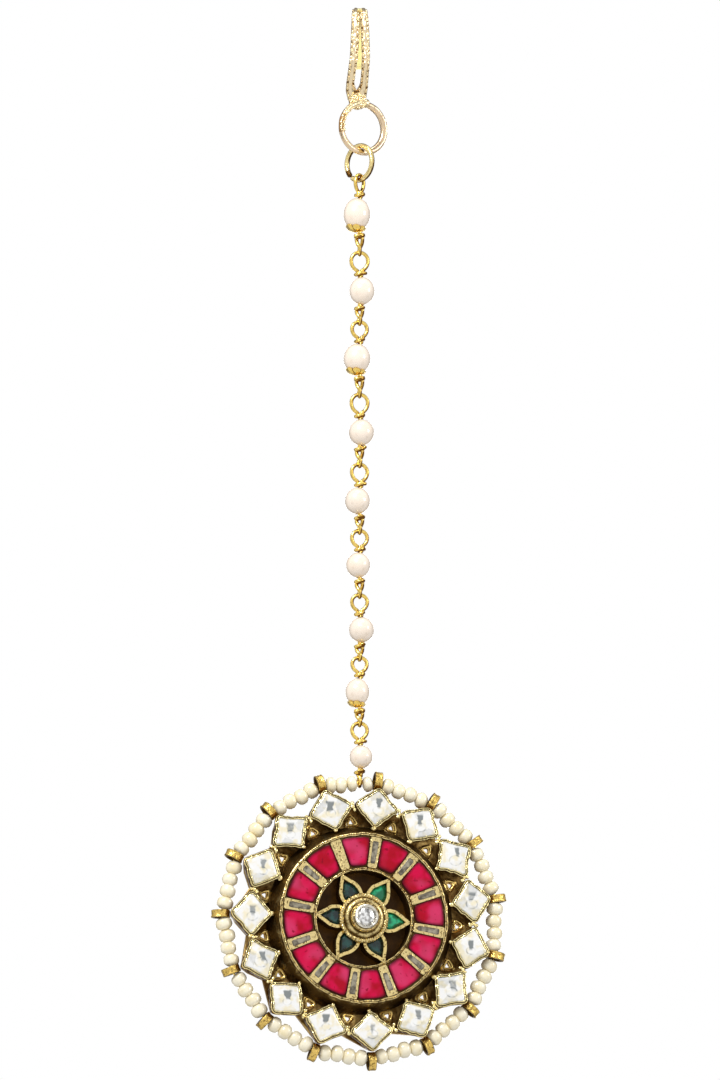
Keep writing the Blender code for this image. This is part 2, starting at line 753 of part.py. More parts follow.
def boss():
    """The centre boss: foot, rope ring and collar with the seat of the round stone."""
    rope = BOSS_ACROSS / 2
    foot = PETAL_FOOT - STONE_GAP
    collar = COLLAR_ACROSS / 2
    seat = CENTRE_ACROSS / 2 + STONE_GAP
    rounding = CENTRE_PROUD / 2
    step = (PETAL_FRONT - BOSS_FRONT) / 3
    floor = COLLAR_FRONT - CENTRE_PROUD + CENTRE_DEPTH + STONE_GAP
    return facing([
        (0, floor), (seat, floor), (seat, COLLAR_FRONT), (collar - rounding, COLLAR_FRONT),
        (collar, COLLAR_FRONT + rounding), (collar, BOSS_FRONT),
        (rope - rounding, BOSS_FRONT), (rope, BOSS_FRONT + step),
        (rope, BOSS_FRONT + 2 * step), (foot, PETAL_FRONT + step / 2),
        (foot, WELL_FLOOR + SOLDER), (0, WELL_FLOOR + SOLDER)], RING_SIDES)


def eyelets():
    """The flat rings at the collets' outer corners, bored along the edge."""
    bore, outer, half = EYELET_BORE / 2, EYELET_ACROSS / 2, EYELET_WIDTH / 2
    band = turned([(outer, half), (outer, -half), (bore, -half), (bore, half)], BORE_SIDES)
    band.transform(Matrix.Rotation(math.radians(90), 4, "Y"))
    places = [Matrix.Rotation(STONE_TURN + BAY * k, 4, "Y")
              @ Matrix.Translation((0, 0, EYELET_RING)) for k in range(STONES)]
    return many(band, places)


def make_frame(gold, pivot, centre):
    """All the soldered metal of the jewel as one solid."""
    metal_parts = [back_plate(), wheel(), petal_walls(), boss(), eyelets()]
    add("pendant_frame", boolean(collet_ring(), metal_parts, "UNION"), gold, pivot, centre)


# Jewel's stones

# Each stone's table as a share of its outline, how deep its girdle lies as a share of
# the stone's depth, and what is left of the outline at its back
POLKI_TABLE = 0.62
RUBY_TABLE = 0.86
PETAL_TABLE = 0.55
GIRDLE_DEPTH = 0.35
BACK_SHARE = 0.9


def cut_stone(outline, front, back, table):
    """A stone with a flat table and a crown facet from each side of its outline."""
    middle = sum((Vector(point) for point in outline), Vector((0, 0))) / len(outline)

    def level(share, depth):
        points = [middle.lerp(Vector(point), share) for point in outline]
        return [(point.x, depth, point.y) for point in points]

    girdle = front + (back - front) * GIRDLE_DEPTH
    return loft([level(table, front), level(1, girdle), level(BACK_SHARE, back)])


def set_stones(name, mesh, count, first, finishes, pivot, centre):
    """The copies of a stone round the jewel, each an object of its own."""
    for k in range(count):
        turn = first + math.tau * k / count
        finish = finishes[k % len(finishes)]
        add(f"{name}_{k + 1}", mesh if k == 0 else mesh.copy(), finish, pivot, centre, turn)


def make_stones(glass, red, greens, pivot, centre):
    outline = [(x, y + STONE_RING) for x, y in diamond()]
    front = COLLET_FRONT + STONE_GAP
    back = PLATE_BACK - PLATE_THICK - STONE_GAP
    set_stones("polki", cut_stone(outline, front, back, POLKI_TABLE), STONES, STONE_TURN,
               [glass], pivot, centre)
    front = WHEEL_FRONT - RUBY_PROUD
    wedge = cut_stone(ruby_outline(0), front, front + RUBY_DEPTH, RUBY_TABLE)
    set_stones("ruby", wedge, RUBIES, RUBY_TURN, [red], pivot, centre)
    front = PETAL_FRONT + STONE_GAP
    leaf = cut_stone(petal_outline(PETAL_WALL), front, front + PETAL_STONE_DEPTH, PETAL_TABLE)
    set_stones("emerald", leaf, PETALS, PETAL_TURN, greens, pivot, centre)
    rim = [clock(math.tau * i / ROUND_SIDES, CENTRE_ACROSS / 2) for i in range(ROUND_SIDES)]
    front = COLLAR_FRONT - CENTRE_PROUD
    brilliant = cut_stone(rim, front, front + CENTRE_DEPTH, PETAL_TABLE)
    add("centre_stone", brilliant, glass, pivot, centre)


# Edge pearls

# An edge pearl's neck and belly as shares of its radius, and how far along it from
# either end its belly begins
PEARL_NECK = 0.5
PEARL_BELLY = 0.95
PEARL_SHOULDER = 0.27


def bay_sections(pearls, hanging_after):
    """(along, radius) stations of the pearls strung in one bay, from its left eyelet."""
    free = BAY_FREE - (HANGING_GAP if hanging_after else 0)
    long = free / pearls
    wide = EDGE_PEARL_ACROSS / 2
    start = (BAY_CHORD - BAY_FREE) / 2
    stations = [(start, EDGE_WIRE / 2)]
    for k in range(pearls):
        if k and k == hanging_after:
            stations.append((start, EDGE_WIRE / 2))
            start += HANGING_GAP
            stations.append((start, EDGE_WIRE / 2))
        elif k:
            stations.append((start, wide * PEARL_NECK))
        stations.append((start + long * PEARL_SHOULDER, wide * PEARL_BELLY))
        stations.append((start + long * (1 - PEARL_SHOULDER), wide * PEARL_BELLY))
        start += long
    stations.append((start, EDGE_WIRE / 2))
    return stations


def make_edge_pearls(nacre, pivot, centre):
    """The pearls and the wire that they are strung on, from eyelet to eyelet."""
    rings = []
    for k in range(STONES):
        hanging_after = PEARLS_LEFT_OF_CHAIN if k == STONES - 1 else 0
        turn = STONE_TURN + BAY * (k + 0.5)
        place = Matrix.Rotation(turn, 4, "Y")
        for along, radius in bay_sections(EDGE_PEARLS_IN_BAY, hanging_after):
            row = []
            for i in range(BEAD_SIDES):
                angle = math.tau * (i + 0.5) / BEAD_SIDES
                point = Vector((along - BAY_CHORD / 2, radius * math.sin(angle),
                                CHORD_HEIGHT + radius * math.cos(angle)))
                row.append(place @ point)
            rings.append(row)
    add("edge_pearls", loft(rings, closed=True), nacre, pivot, centre)


def main():
    clear_scene()
    parts = bpy.data.collections.new("maang_tikka")
    bpy.context.scene.collection.children.link(parts)

    old_gold = surface("old gold", (0.62, 0.45, 0.18), 0.35, 1.0)
    bright_gold = surface("bright gold", (0.86, 0.55, 0.14), 0.22, 1.0)
    pearl = surface("pearl", (0.93, 0.84, 0.78), 0.25)
    seed_pearl = surface("seed pearl", (0.86, 0.76, 0.58), 0.35)
    polki = surface("polki", (0.92, 0.90, 0.86), 0.08)
    ruby = surface("ruby", (0.62, 0.02, 0.09), 0.12)
    green = surface("green stone", (0.0, 0.30, 0.12), 0.1)
    teal = surface("dark green stone", (0.01, 0.06, 0.06), 0.1)

    links = chain_links()
    make_hook(old_gold)
    make_jump_ring(old_gold)
    make_chain(links, bright_gold, pearl)

    pivot = bpy.data.objects.new("pendant_pivot", None)
    pivot.location = (0, 0, hang_height(links))
    parts.objects.link(pivot)
    sine, cosine = math.sin(TOP_CHORD_TURN), math.cos(TOP_CHORD_TURN)
    centre = Vector((-CHORD_HEIGHT * sine - HANG_ALONG * cosine, 0,
                     -CHORD_HEIGHT * cosine + HANG_ALONG * sine))
    make_frame(old_gold, pivot, centre)
    make_stones(polki, ruby, [green, green, teal, teal, teal, teal], pivot, centre)
    make_edge_pearls(seed_pearl, pivot, centre)


main()
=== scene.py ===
"""The looks of a maang tikka: a round stone-set jewel on a line of wired pearls.

It hangs from its hair hook and faces -Y. Each section below is one piece, or one group
of like pieces, in the order in which the jewel is put together. All is in metres.
"""
import math
import random

import bmesh
import bpy
from mathutils import Matrix, Vector, noise


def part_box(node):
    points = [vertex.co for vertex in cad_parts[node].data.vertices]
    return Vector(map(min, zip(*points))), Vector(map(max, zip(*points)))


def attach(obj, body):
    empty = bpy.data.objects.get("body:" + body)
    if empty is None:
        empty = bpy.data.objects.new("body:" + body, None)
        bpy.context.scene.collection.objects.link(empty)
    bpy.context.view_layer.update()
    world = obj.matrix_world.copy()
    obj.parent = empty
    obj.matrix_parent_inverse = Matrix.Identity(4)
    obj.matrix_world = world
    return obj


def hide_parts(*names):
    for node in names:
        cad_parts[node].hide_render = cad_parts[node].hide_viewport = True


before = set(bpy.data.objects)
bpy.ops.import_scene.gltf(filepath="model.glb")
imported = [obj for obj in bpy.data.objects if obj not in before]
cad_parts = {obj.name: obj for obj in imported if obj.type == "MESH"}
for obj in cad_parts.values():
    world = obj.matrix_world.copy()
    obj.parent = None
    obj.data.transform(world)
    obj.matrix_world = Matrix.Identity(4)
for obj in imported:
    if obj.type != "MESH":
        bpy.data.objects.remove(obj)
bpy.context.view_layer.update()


# Camera and light. The jewel hangs before a white ground and is seen through a long lens
# from a little below and to the left. A soft light stands at the upper left, with weaker
# ones at the right, above and behind, and the room is bright but for four dark patches.
FRAME_HEIGHT = 0.1508
LENS = 600
SENSOR = 36
AIM = Vector((0.00007, 0.0, -0.0747))
VIEW_AZIMUTH = math.radians(-12)
VIEW_ELEVATION = math.radians(-9)

# Where each light stands round the jewel, in degrees and metres, its size and its watts.
LIGHTS = (
    {"name": "key", "azimuth": -38, "elevation": 38, "distance": 0.55, "size": 0.16, "power": 1.9},
    {"name": "fill", "azimuth": 55, "elevation": 12, "distance": 0.6, "size": 0.20, "power": 0.7},
    {"name": "top", "azimuth": 10, "elevation": 78, "distance": 0.5, "size": 0.2, "power": 0.4},
    {"name": "back", "azimuth": 165, "elevation": 4, "distance": 0.6, "size": 0.4, "power": 1.5},
)


def towards(azimuth, elevation):
    """The direction from the jewel to a place round it."""
    flat = math.cos(elevation)
    return Vector((math.sin(azimuth) * flat, -math.cos(azimuth) * flat, math.sin(elevation)))


def soft_light(name, azimuth, elevation, distance, size, power):
    """A square area light that faces the jewel."""
    data = bpy.data.lights.new(name, "AREA")
    data.size = size
    data.energy = power
    light = bpy.data.objects.new(name, data)
    back = towards(math.radians(azimuth), math.radians(elevation))
    light.location = AIM + back * distance
    light.rotation_euler = back.to_track_quat("Z", "Y").to_euler()
    bpy.context.scene.collection.objects.link(light)


camera_data = bpy.data.cameras.new("camera")
camera_data.lens = LENS
camera_data.sensor_width = SENSOR
camera_data.clip_end = 20
camera = bpy.data.objects.new("camera", camera_data)
view_back = towards(VIEW_AZIMUTH, VIEW_ELEVATION)
camera.location = AIM + view_back * (FRAME_HEIGHT * LENS / SENSOR)
camera.rotation_euler = view_back.to_track_quat("Z", "Y").to_euler()
bpy.context.scene.collection.objects.link(camera)
bpy.context.scene.camera = camera
bpy.context.scene.view_settings.view_transform = "Standard"

for light in LIGHTS:
    soft_light(**light)

# What is dark round the jewel, as its metal and stones mirror it: where each patch is, how
# far it reaches in degrees, and how dark it is. The first is all that lies behind it.
DARK_CARDS = (
    {"azimuth": 168, "elevation": 6, "reach": 66, "edge": 14, "dark": 0.72},
    {"azimuth": 20, "elevation": 47, "reach": 12, "edge": 5, "dark": 0.8},
    {"azimuth": 52, "elevation": -36, "reach": 13, "edge": 5, "dark": 0.8},
    {"azimuth": -66, "elevation": -20, "reach": 12, "edge": 6, "dark": 0.8},
)
ROOM_LOW = 1.02
ROOM_HIGH = 1.06

world = bpy.data.worlds.new("studio")
world.use_nodes = True
bpy.context.scene.world = world
sky = world.node_tree.nodes
join = world.node_tree.links.new
ground = sky["Background"]
ground.inputs["Color"].default_value = (1.0, 1.0, 1.0, 1)
way = sky.new("ShaderNodeTexCoord").outputs["Generated"]
split = sky.new("ShaderNodeSeparateXYZ")
join(way, split.inputs[0])
level = sky.new("ShaderNodeMapRange")
level.inputs["From Min"].default_value = -1
level.inputs["To Min"].default_value = ROOM_LOW
level.inputs["To Max"].default_value = ROOM_HIGH
join(split.outputs["Z"], level.inputs["Value"])
light_left = level.outputs[0]
for card in DARK_CARDS:
    reach = math.radians(card["reach"])
    edge = math.radians(card["edge"])
    facing = sky.new("ShaderNodeVectorMath")
    facing.operation = "DOT_PRODUCT"
    facing.inputs[1].default_value = towards(math.radians(card["azimuth"]),
                                             math.radians(card["elevation"]))
    join(way, facing.inputs[0])
    shade = sky.new("ShaderNodeMapRange")
    shade.interpolation_type = "SMOOTHSTEP"
    shade.inputs["From Min"].default_value = math.cos(reach + edge)
    shade.inputs["From Max"].default_value = math.cos(reach - edge)
    shade.inputs["To Min"].default_value = 1
    shade.inputs["To Max"].default_value = 1 - card["dark"]
    join(facing.outputs["Value"], shade.inputs["Value"])
    left = sky.new("ShaderNodeMath")
    left.operation = "MULTIPLY"
    join(light_left, left.inputs[0])
    join(shade.outputs[0], left.inputs[1])
    light_left = left.outputs[0]
room = sky.new("ShaderNodeBackground")
rays = sky.new("ShaderNodeLightPath")
choice = sky.new("ShaderNodeMixShader")
join(light_left, room.inputs["Strength"])
join(rays.outputs["Is Camera Ray"], choice.inputs[0])
join(room.outputs[0], choice.inputs[1])
join(ground.outputs[0], choice.inputs[2])
join(choice.outputs[0], sky["World Output"].inputs["Surface"])


# Hair hook. Cast in pale gold: two strips with beaded edges part below the bend and meet
# again at the foot, where a leaf of fine grains is soldered over the ring. The plain back
# leg slides into the hair.
HOOK_GAP = 0.0050
HOOK_THICK = 0.0009
HOOK_HEIGHT = 0.0123
HOOK_TAIL = 0.0066
HOOK_TURN = math.radians(-11)
HOOK_SOLDER = 0.0003
HOOK_RISE = 0.55
HOOK_FLARE = 0.6
HOOK_STEPS = 150
STRIP_START = 0.01
STRIP_END = 0.60
STRIP_BODY = 0.86
STRIP_SINK = 0.42
LEG_START = 0.50
LEG_END = 0.935
LEG_HALF = 0.0007
LEG_HALF_AT_BEND = 0.0006
LEG_TAPER_START = 0.88
LEG_TAPER = 0.3
LEG_STEPS = 60
LEG_SIDES = 14
GRAIN = 0.00036
GRAINS_START = 0.03
GRAINS_END = 0.54
GRAIN_PACE_OUTSIDE = 0.026
GRAIN_PACE_INSIDE = 0.040

# Share of the hook's length from the foot; half the width of the whole hook and of the
# slot in it there, and how far its middle has moved to the side.
HOOK_SHAPE = (
    {"along": 0.000, "half": 0.00120, "slot": 0.00000, "lean": -0.00036},
    {"along": 0.060, "half": 0.00152, "slot": 0.00000, "lean": -0.00042},
    {"along": 0.078, "half": 0.00154, "slot": 0.00026, "lean": -0.00036},
    {"along": 0.095, "half": 0.00154, "slot": 0.00040, "lean": -0.00034},
    {"along": 0.150, "half": 0.00148, "slot": 0.00038, "lean": -0.00018},
    {"along": 0.223, "half": 0.00142, "slot": 0.00028, "lean": 0.00000},
    {"along": 0.300, "half": 0.00134, "slot": 0.00018, "lean": 0.00004},
    {"along": 0.380, "half": 0.00126, "slot": 0.00010, "lean": 0.00004},
    {"along": 0.450, "half": 0.00117, "slot": 0.00003, "lean": 0.00002},
    {"along": 0.520, "half": 0.00108, "slot": 0.00001, "lean": 0.00000},
    {"along": 0.600, "half": 0.00098, "slot": 0.00000, "lean": 0.00000},
)

# Across one strip: share of its half width, height over its back, and darkness. Two beaded
# edges stand beside a smooth middle, with a groove between.
STRIP_SECTION = (
    {"across": -1.00, "out": 0.00, "stain_and_shade": 0.6}, {"across": -1.00, "out": 0.50, "stain_and_shade": 0.3},
    {"across": -0.92, "out": 0.66, "stain_and_shade": 0.8}, {"across": -0.60, "out": 0.62, "stain_and_shade": 1.0},
    {"across": -0.52, "out": 0.82, "stain_and_shade": 0.1}, {"across": -0.40, "out": 0.94, "stain_and_shade": 0.0},
    {"across": 0.00, "out": 1.00, "stain_and_shade": 0.0}, {"across": 0.40, "out": 0.94, "stain_and_shade": 0.0},
    {"across": 0.52, "out": 0.82, "stain_and_shade": 0.1}, {"across": 0.60, "out": 0.62, "stain_and_shade": 1.0},
    {"across": 0.92, "out": 0.66, "stain_and_shade": 0.8}, {"across": 1.00, "out": 0.50, "stain_and_shade": 0.3},
    {"across": 1.00, "out": 0.00, "stain_and_shade": 0.6},
)


class Socket:
    """An output in a material's nodes; arithmetic on a number adds its Math nodes."""

    def __init__(self, finish, output):
        self.finish = finish
        self.output = output

    def maths(self, operation, first, second):
        return self.finish.node("Math", {"operation": operation}, {0: first, 1: second})

    def __add__(self, other):
        return self.maths("ADD", self, other)

    def __sub__(self, other):
        return self.maths("SUBTRACT", self, other)

    def __rsub__(self, other):
        return self.maths("SUBTRACT", other, self)

    def __mul__(self, other):
        return self.maths("MULTIPLY", self, other)

    __radd__ = __add__
    __rmul__ = __mul__


class Finish:
    """A material in the making, with its constants set on the shader's own sockets."""

    def __init__(self, name, constants):
        self.material = bpy.data.materials.new(name)
        self.material.use_nodes = True
        self.tree = self.material.node_tree
        self.shader = self.tree.nodes["Principled BSDF"]
        for socket, value in constants.items():
            self.put(self.shader.inputs[socket], value)
        self.place = self.node("TexCoord", output="Object")

    def put(self, socket, value):
        if isinstance(value, Socket):
            self.tree.links.new(value.output, socket)
        elif isinstance(value, tuple) and len(value) == 3 and socket.type == "RGBA":
            socket.default_value = (*value, 1)
        else:
            socket.default_value = value

    def node(self, kind, settings=None, inputs=None, output=0):
        """Add a node: its settings first, then the values or links of its sockets."""
        made = self.tree.nodes.new("ShaderNode" + kind)
        for name, value in (settings or {}).items():
            setattr(made, name, value)
        for name, value in (inputs or {}).items():
            self.put(made.inputs[name], value)
        return Socket(self, made.outputs[output])

    def noise(self, size, detail=2.0, stretch=(1, 1, 1)):
        """Cloudy noise from 0 to 1 whose blots are about size across."""
        place = self.node("Mapping", {}, {"Vector": self.place, "Scale": stretch})
        return self.node("TexNoise", {}, {"Vector": place, "Scale": 1 / size, "Detail": detail})

    def step(self, value, low, high, to_low=0.0, to_high=1.0):
        """A value's rise between two limits, as a smooth step."""
        return self.node("MapRange", {"interpolation_type": "SMOOTHSTEP"},
                         {"Value": value, "From Min": low, "From Max": high,
                          "To Min": to_low, "To Max": to_high})

    def stain_and_shade(self):
        """The darkness that the points of a piece carry: painted shade and stain, and on stones
        painted reflection.
        """
        return self.node("Attribute", {"attribute_name": "stain_and_shade"}, output="Fac")

    def mix(self, share, colour, other):
        return self.node("Mix", {"data_type": "RGBA"}, {0: share, 6: colour, 7: other}, 2)

    def set(self, socket, value):
        self.put(self.shader.inputs[socket], value)

    def bump(self, height, depth):
        self.set("Normal", self.node("Bump", {}, {"Height": height, "Distance": depth}))


def gold(name, bright, deep, roughness=0.26, wear=0.35, grain=0.00035, relief=0.00005,
         metallic=1.0):
    """Gold with painted shade and stain in its hollows and worn pits, bright on what stands out."""
    finish = Finish(name, {"Metallic": metallic})
    cloud = finish.noise(grain * 4, 3)
    fleck = finish.noise(grain, 2)
    # Painted shade and stain: the points' darkness, mottled by noise.
    stain_and_shade_mask = finish.step(finish.stain_and_shade() + (cloud - 0.5) * 0.9, 0.30, 0.80)
    pits = finish.step(fleck, 0.52, 0.68) * wear
    dark = 1 - (1 - stain_and_shade_mask) * (1 - pits)
    finish.set("Base Color", finish.mix(dark, bright, deep))
    finish.set("Roughness", dark * 0.25 + cloud * 0.12 + roughness - 0.06)
    finish.bump(fleck + cloud * 0.6, relief)
    return finish.material


class Skin:
    """The points and faces of a piece as it is built up from lofted stretches."""

    def __init__(self):
        self.points = []
        self.faces = []
        self.stain_and_shade = []

    def loft(self, rows, stain_and_shade=0.0, closed=False):
        """Join rows of equally many points, each a loop; their darkness, painted shade and stain,
        is one number for all, a number for each point of a row, or such a list for each row."""
        start = len(self.points)
        count = len(rows[0])
        darks = stain_and_shade if isinstance(stain_and_shade, list) else [stain_and_shade] * count
        for i, row in enumerate(rows):
            self.points.extend(row)
            self.stain_and_shade.extend(darks[i] if isinstance(darks[0], list) else darks)
        for i in range(len(rows) - (not closed)):
            a = start + i * count
            b = start + (i + 1) % len(rows) * count
            for j in range(count):
                k = (j + 1) % count
                self.faces.append((a + j, a + k, b + k, b + j))
        if not closed:
            last = start + (len(rows) - 1) * count
            self.faces.append(tuple(range(start, start + count)))
            self.faces.append(tuple(range(last, last + count)))

    def tube(self, path, radius, sides=12, closed=False, stain_and_shade=0.0, flat=1.0):
        """A wire along a path with round ends; radius is a number or one a point, and its
        darkness, painted shade and stain, a number or a function of the way a point faces."""
        radii = list(radius) if isinstance(radius, (list, tuple)) else [radius] * len(path)
        path = [Vector(point) for point in path]
        if not closed:
            first = (path[0] - path[1]).normalized()
            last = (path[-1] - path[-2]).normalized()
            # Three short steps round off each end
            for share in (0.5, 0.87, 0.99):
                shrink = math.sqrt(1 - share * share)
                path.insert(0, path[0] + first * radii[0] * 0.33)
                path.append(path[-1] + last * radii[-1] * 0.33)
                radii.insert(0, radii[0] * (0.94 if share < 0.6 else shrink + 0.2))
                radii.append(radii[-1] * (0.94 if share < 0.6 else shrink + 0.2))
        count = len(path)
        tangents = []
        for i in range(count):
            before = path[i - 1] if i or closed else path[0]
            after = path[(i + 1) % count] if i < count - 1 or closed else path[-1]
            tangents.append((after - before).normalized())
        normals = [tangents[0].orthogonal().normalized()]
        for tangent in tangents[1:]:
            carried = normals[-1] - tangent * normals[-1].dot(tangent)
            normals.append(carried.normalized())
        twist = 0.0
        if closed:
            carried = normals[-1] - tangents[0] * normals[-1].dot(tangents[0])
            side = tangents[0].cross(normals[0])
            twist = math.atan2(carried.dot(side), carried.dot(normals[0]))
        rows, darks = [], []
        for i in range(count):
            side = tangents[i].cross(normals[i])
            row, dark = [], []
            for j in range(sides):
                angle = math.tau * j / sides - twist * i / count
                out = normals[i] * math.cos(angle) + side * math.sin(angle) * flat
                row.append(path[i] + out * radii[i])
                dark.append(stain_and_shade(out) if callable(stain_and_shade) else stain_and_shade)
            rows.append(row)
            darks.append(dark)
        self.loft(rows, darks, closed)

    def piece(self, name, finish, body, slot, nodes, crease=40):
        """The finished object, riding on its body and standing for its CAD nodes."""
        mesh = bpy.data.meshes.new(name)
        mesh.from_pydata(self.points, [], self.faces)
        darken(mesh, self.stain_and_shade)
        close_up(mesh, 1e-7)
        hang(name, mesh, finish, body, nodes, crease)


def darken(mesh, darks):
    """Give each point of a mesh its darkness, painted shade and stain, which the finishes read."""
    layer = mesh.attributes.new("stain_and_shade", "FLOAT", "POINT")
    layer.data.foreach_set("value", darks)


def close_up(mesh, merge):
    """Merge the points of a mesh that lie together, and turn its faces outwards."""
    shape = bmesh.new()
    shape.from_mesh(mesh)
    bmesh.ops.remove_doubles(shape, verts=shape.verts, dist=merge)
    bmesh.ops.recalc_face_normals(shape, faces=shape.faces)
    shape.to_mesh(mesh)
    shape.free()


def plain_mesh(source):
    """The mesh that an object's curve or modifier makes; the object itself goes."""
    bpy.context.scene.collection.objects.link(source)
    bpy.context.view_layer.update()
    seen = source.evaluated_get(bpy.context.evaluated_depsgraph_get())
    mesh = bpy.data.meshes.new_from_object(seen)
    source.modifiers.clear()
    bpy.data.objects.remove(source)
    return mesh


def hang(name, mesh, finish, body, nodes, crease=40):
    """Give a mesh its finish and shading, and hang it on its body."""
    mesh.materials.clear()
    mesh.materials.append(finish)
    mesh.shade_smooth()
    mesh.set_sharp_from_angle(angle=math.radians(crease))
    made = bpy.data.objects.new(name, mesh)
    bpy.context.scene.collection.objects.link(made)
    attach(made, body)
    if nodes:
        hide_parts(*nodes)


def uneven(place, size, seed=0.0):
    """Smooth noise from -1 to 1 at a point, whose waves are about size long."""
    return noise.noise(place / size + Vector((seed, seed * 1.7, -seed)))


def between(table, key, along):
    """A value read from a table's rows at a share of the length."""
    for row, after in zip(table, table[1:]):
        if along <= after["along"]:
            share = (along - row["along"]) / (after["along"] - row["along"])
            return row[key] + (after[key] - row[key]) * share
    return table[-1][key]


def hook_route(along):
    """A point of the hook's middle line and the direction out of its front there."""
    bend = (HOOK_GAP + HOOK_THICK) / 2
    top = -HOOK_GAP / 2
    front = HOOK_HEIGHT + HOOK_SOLDER + top
    travel = along * (front + math.pi * bend + HOOK_TAIL)
    if travel < front:
        rise = front * HOOK_RISE
        sway = min(1.0, travel / rise)
        depth = -bend * (1 - math.cos(math.pi * sway)) / 2
        slope = bend * math.pi / 2 * math.sin(math.pi * sway) / rise
        angle = math.atan(slope)
        return Vector((0, depth, top - front + travel)), Vector(
            (0, -math.cos(angle), -math.sin(angle)))
    if travel < front + math.pi * bend:
        angle = (travel - front) / bend
        out = Vector((0, -math.cos(angle), math.sin(angle)))
        return Vector((0, 0, top)) + out * bend, out
    down = travel - front - math.pi * bend
    flare = max(0.0, down / HOOK_TAIL - HOOK_FLARE) * HOOK_THICK
    return Vector((0, bend + flare, top - down)), Vector((0, 1, 0))


def on_hook(along, across, out):
    """A point given along the hook, across it and out of its middle line."""
    place, outwards = hook_route(along)
    point = place + outwards * out + Vector((across, 0, 0))
    return Matrix.Rotation(HOOK_TURN, 3, "Z") @ point


def beads_tree():
    """Geometry Nodes that set a bead on each point, by its axis and size attributes."""
    tree = bpy.data.node_groups.new("beads", "GeometryNodeTree")
    tree.interface.new_socket("Geometry", in_out="INPUT", socket_type="NodeSocketGeometry")
    for name, kind in (("Segments", "Int"), ("Rings", "Int"), ("Unevenness", "Float"),
                       ("Fullness", "Float"), ("Seed", "Int"), ("Material", "Material")):
        tree.interface.new_socket(name, in_out="INPUT", socket_type="NodeSocket" + kind)
    tree.interface.new_socket("Geometry", in_out="OUTPUT", socket_type="NodeSocketGeometry")

    def add(kind, settings=None, inputs=None):
        made = tree.nodes.new(kind)
        for key, value in (settings or {}).items():
            setattr(made, key, value)
        for key, value in (inputs or {}).items():
            if isinstance(value, bpy.types.NodeSocket):
                tree.links.new(value, made.inputs[key])
            else:
                made.inputs[key].default_value = value
        return made

    given = add("NodeGroupInput").outputs
    axis = add("GeometryNodeInputNamedAttribute", {"data_type": "FLOAT_VECTOR"},
               {"Name": "axis"})
    size = add("GeometryNodeInputNamedAttribute", {"data_type": "FLOAT_VECTOR"},
               {"Name": "size"})
    turn = add("FunctionNodeAlignRotationToVector", {"axis": "Z"}, {"Vector": axis.outputs[0]})
    spread = add("FunctionNodeRandomValue", {"data_type": "FLOAT_VECTOR"},
                 {0: (-1, -1, -1), 1: (1, 1, 1), "Seed": given["Seed"]})
    uneven_by = add("ShaderNodeVectorMath", {"operation": "SCALE"},
                    {0: spread.outputs[0], "Scale": given["Unevenness"]})
    grown = add("ShaderNodeVectorMath", {"operation": "MULTIPLY_ADD"},
                {0: uneven_by.outputs[0], 1: size.outputs[0], 2: size.outputs[0]})
    ball = add("GeometryNodeMeshUVSphere", {},
               {"Segments": given["Segments"], "Rings": given["Rings"], "Radius": 0.5})
    place = add("GeometryNodeInputPosition")
    apart = add("ShaderNodeSeparateXYZ", {}, {0: place.outputs[0]})
    height = add("ShaderNodeMath", {"operation": "ABSOLUTE"}, {0: apart.outputs[2]})
    doubled = add("ShaderNodeMath", {"operation": "MULTIPLY"}, {0: height.outputs[0], 1: 2.0})
    fuller = add("ShaderNodeMath", {"operation": "POWER"},
                 {0: doubled.outputs[0], 1: given["Fullness"]})
    halved = add("ShaderNodeMath", {"operation": "MULTIPLY"}, {0: fuller.outputs[0], 1: 0.5})
    signed = add("ShaderNodeMath", {"operation": "SIGN"}, {0: apart.outputs[2]})
    level = add("ShaderNodeMath", {"operation": "MULTIPLY"},
                {0: halved.outputs[0], 1: signed.outputs[0]})
    barrel = add("ShaderNodeCombineXYZ", {}, {0: apart.outputs[0], 1: apart.outputs[1],
                                              2: level.outputs[0]})
    bead = add("GeometryNodeSetPosition", {},
               {"Geometry": ball.outputs["Mesh"], "Position": barrel.outputs[0]})
    placed = add("GeometryNodeInstanceOnPoints", {},
                 {"Points": given["Geometry"], "Instance": bead.outputs[0],
                  "Rotation": turn.outputs[0], "Scale": grown.outputs[0]})
    real = add("GeometryNodeRealizeInstances", {}, {"Geometry": placed.outputs[0]})
    done = add("GeometryNodeSetMaterial", {},
               {"Geometry": real.outputs[0], "Material": given["Material"]})
    add("NodeGroupOutput", {}, {"Geometry": done.outputs[0]})
    return tree


BEADS = beads_tree()


def beads(name, places, finish, body, nodes=(), segments=10, rings=6, unevenness=0.1,
          fullness=1.0):
    """Beads as one mesh; a place is a centre, an axis, a width and a length along it. A
    fullness below 1 makes barrels of them."""
    mesh = bpy.data.meshes.new(name)
    mesh.from_pydata([place[0] for place in places], [], [])
    axis = mesh.attributes.new("axis", "FLOAT_VECTOR", "POINT")
    size = mesh.attributes.new("size", "FLOAT_VECTOR", "POINT")
    axis.data.foreach_set("vector", [c for place in places for c in place[1]])
    size.data.foreach_set("vector", [c for place in places
                                     for c in (place[2], place[2], place[3])])
    seeds = bpy.data.objects.new(name + "_places", mesh)
    setter = seeds.modifiers.new("beads", "NODES")
    setter.node_group = BEADS
    inputs = {"Segments": segments, "Rings": rings, "Unevenness": unevenness,
              "Fullness": fullness, "Seed": len(places), "Material": finish}
    for item in BEADS.interface.items_tree:
        if item.in_out == "INPUT" and item.name in inputs:
            setter[item.identifier] = inputs[item.name]
    hang(name, plain_mesh(seeds), finish, body, nodes)


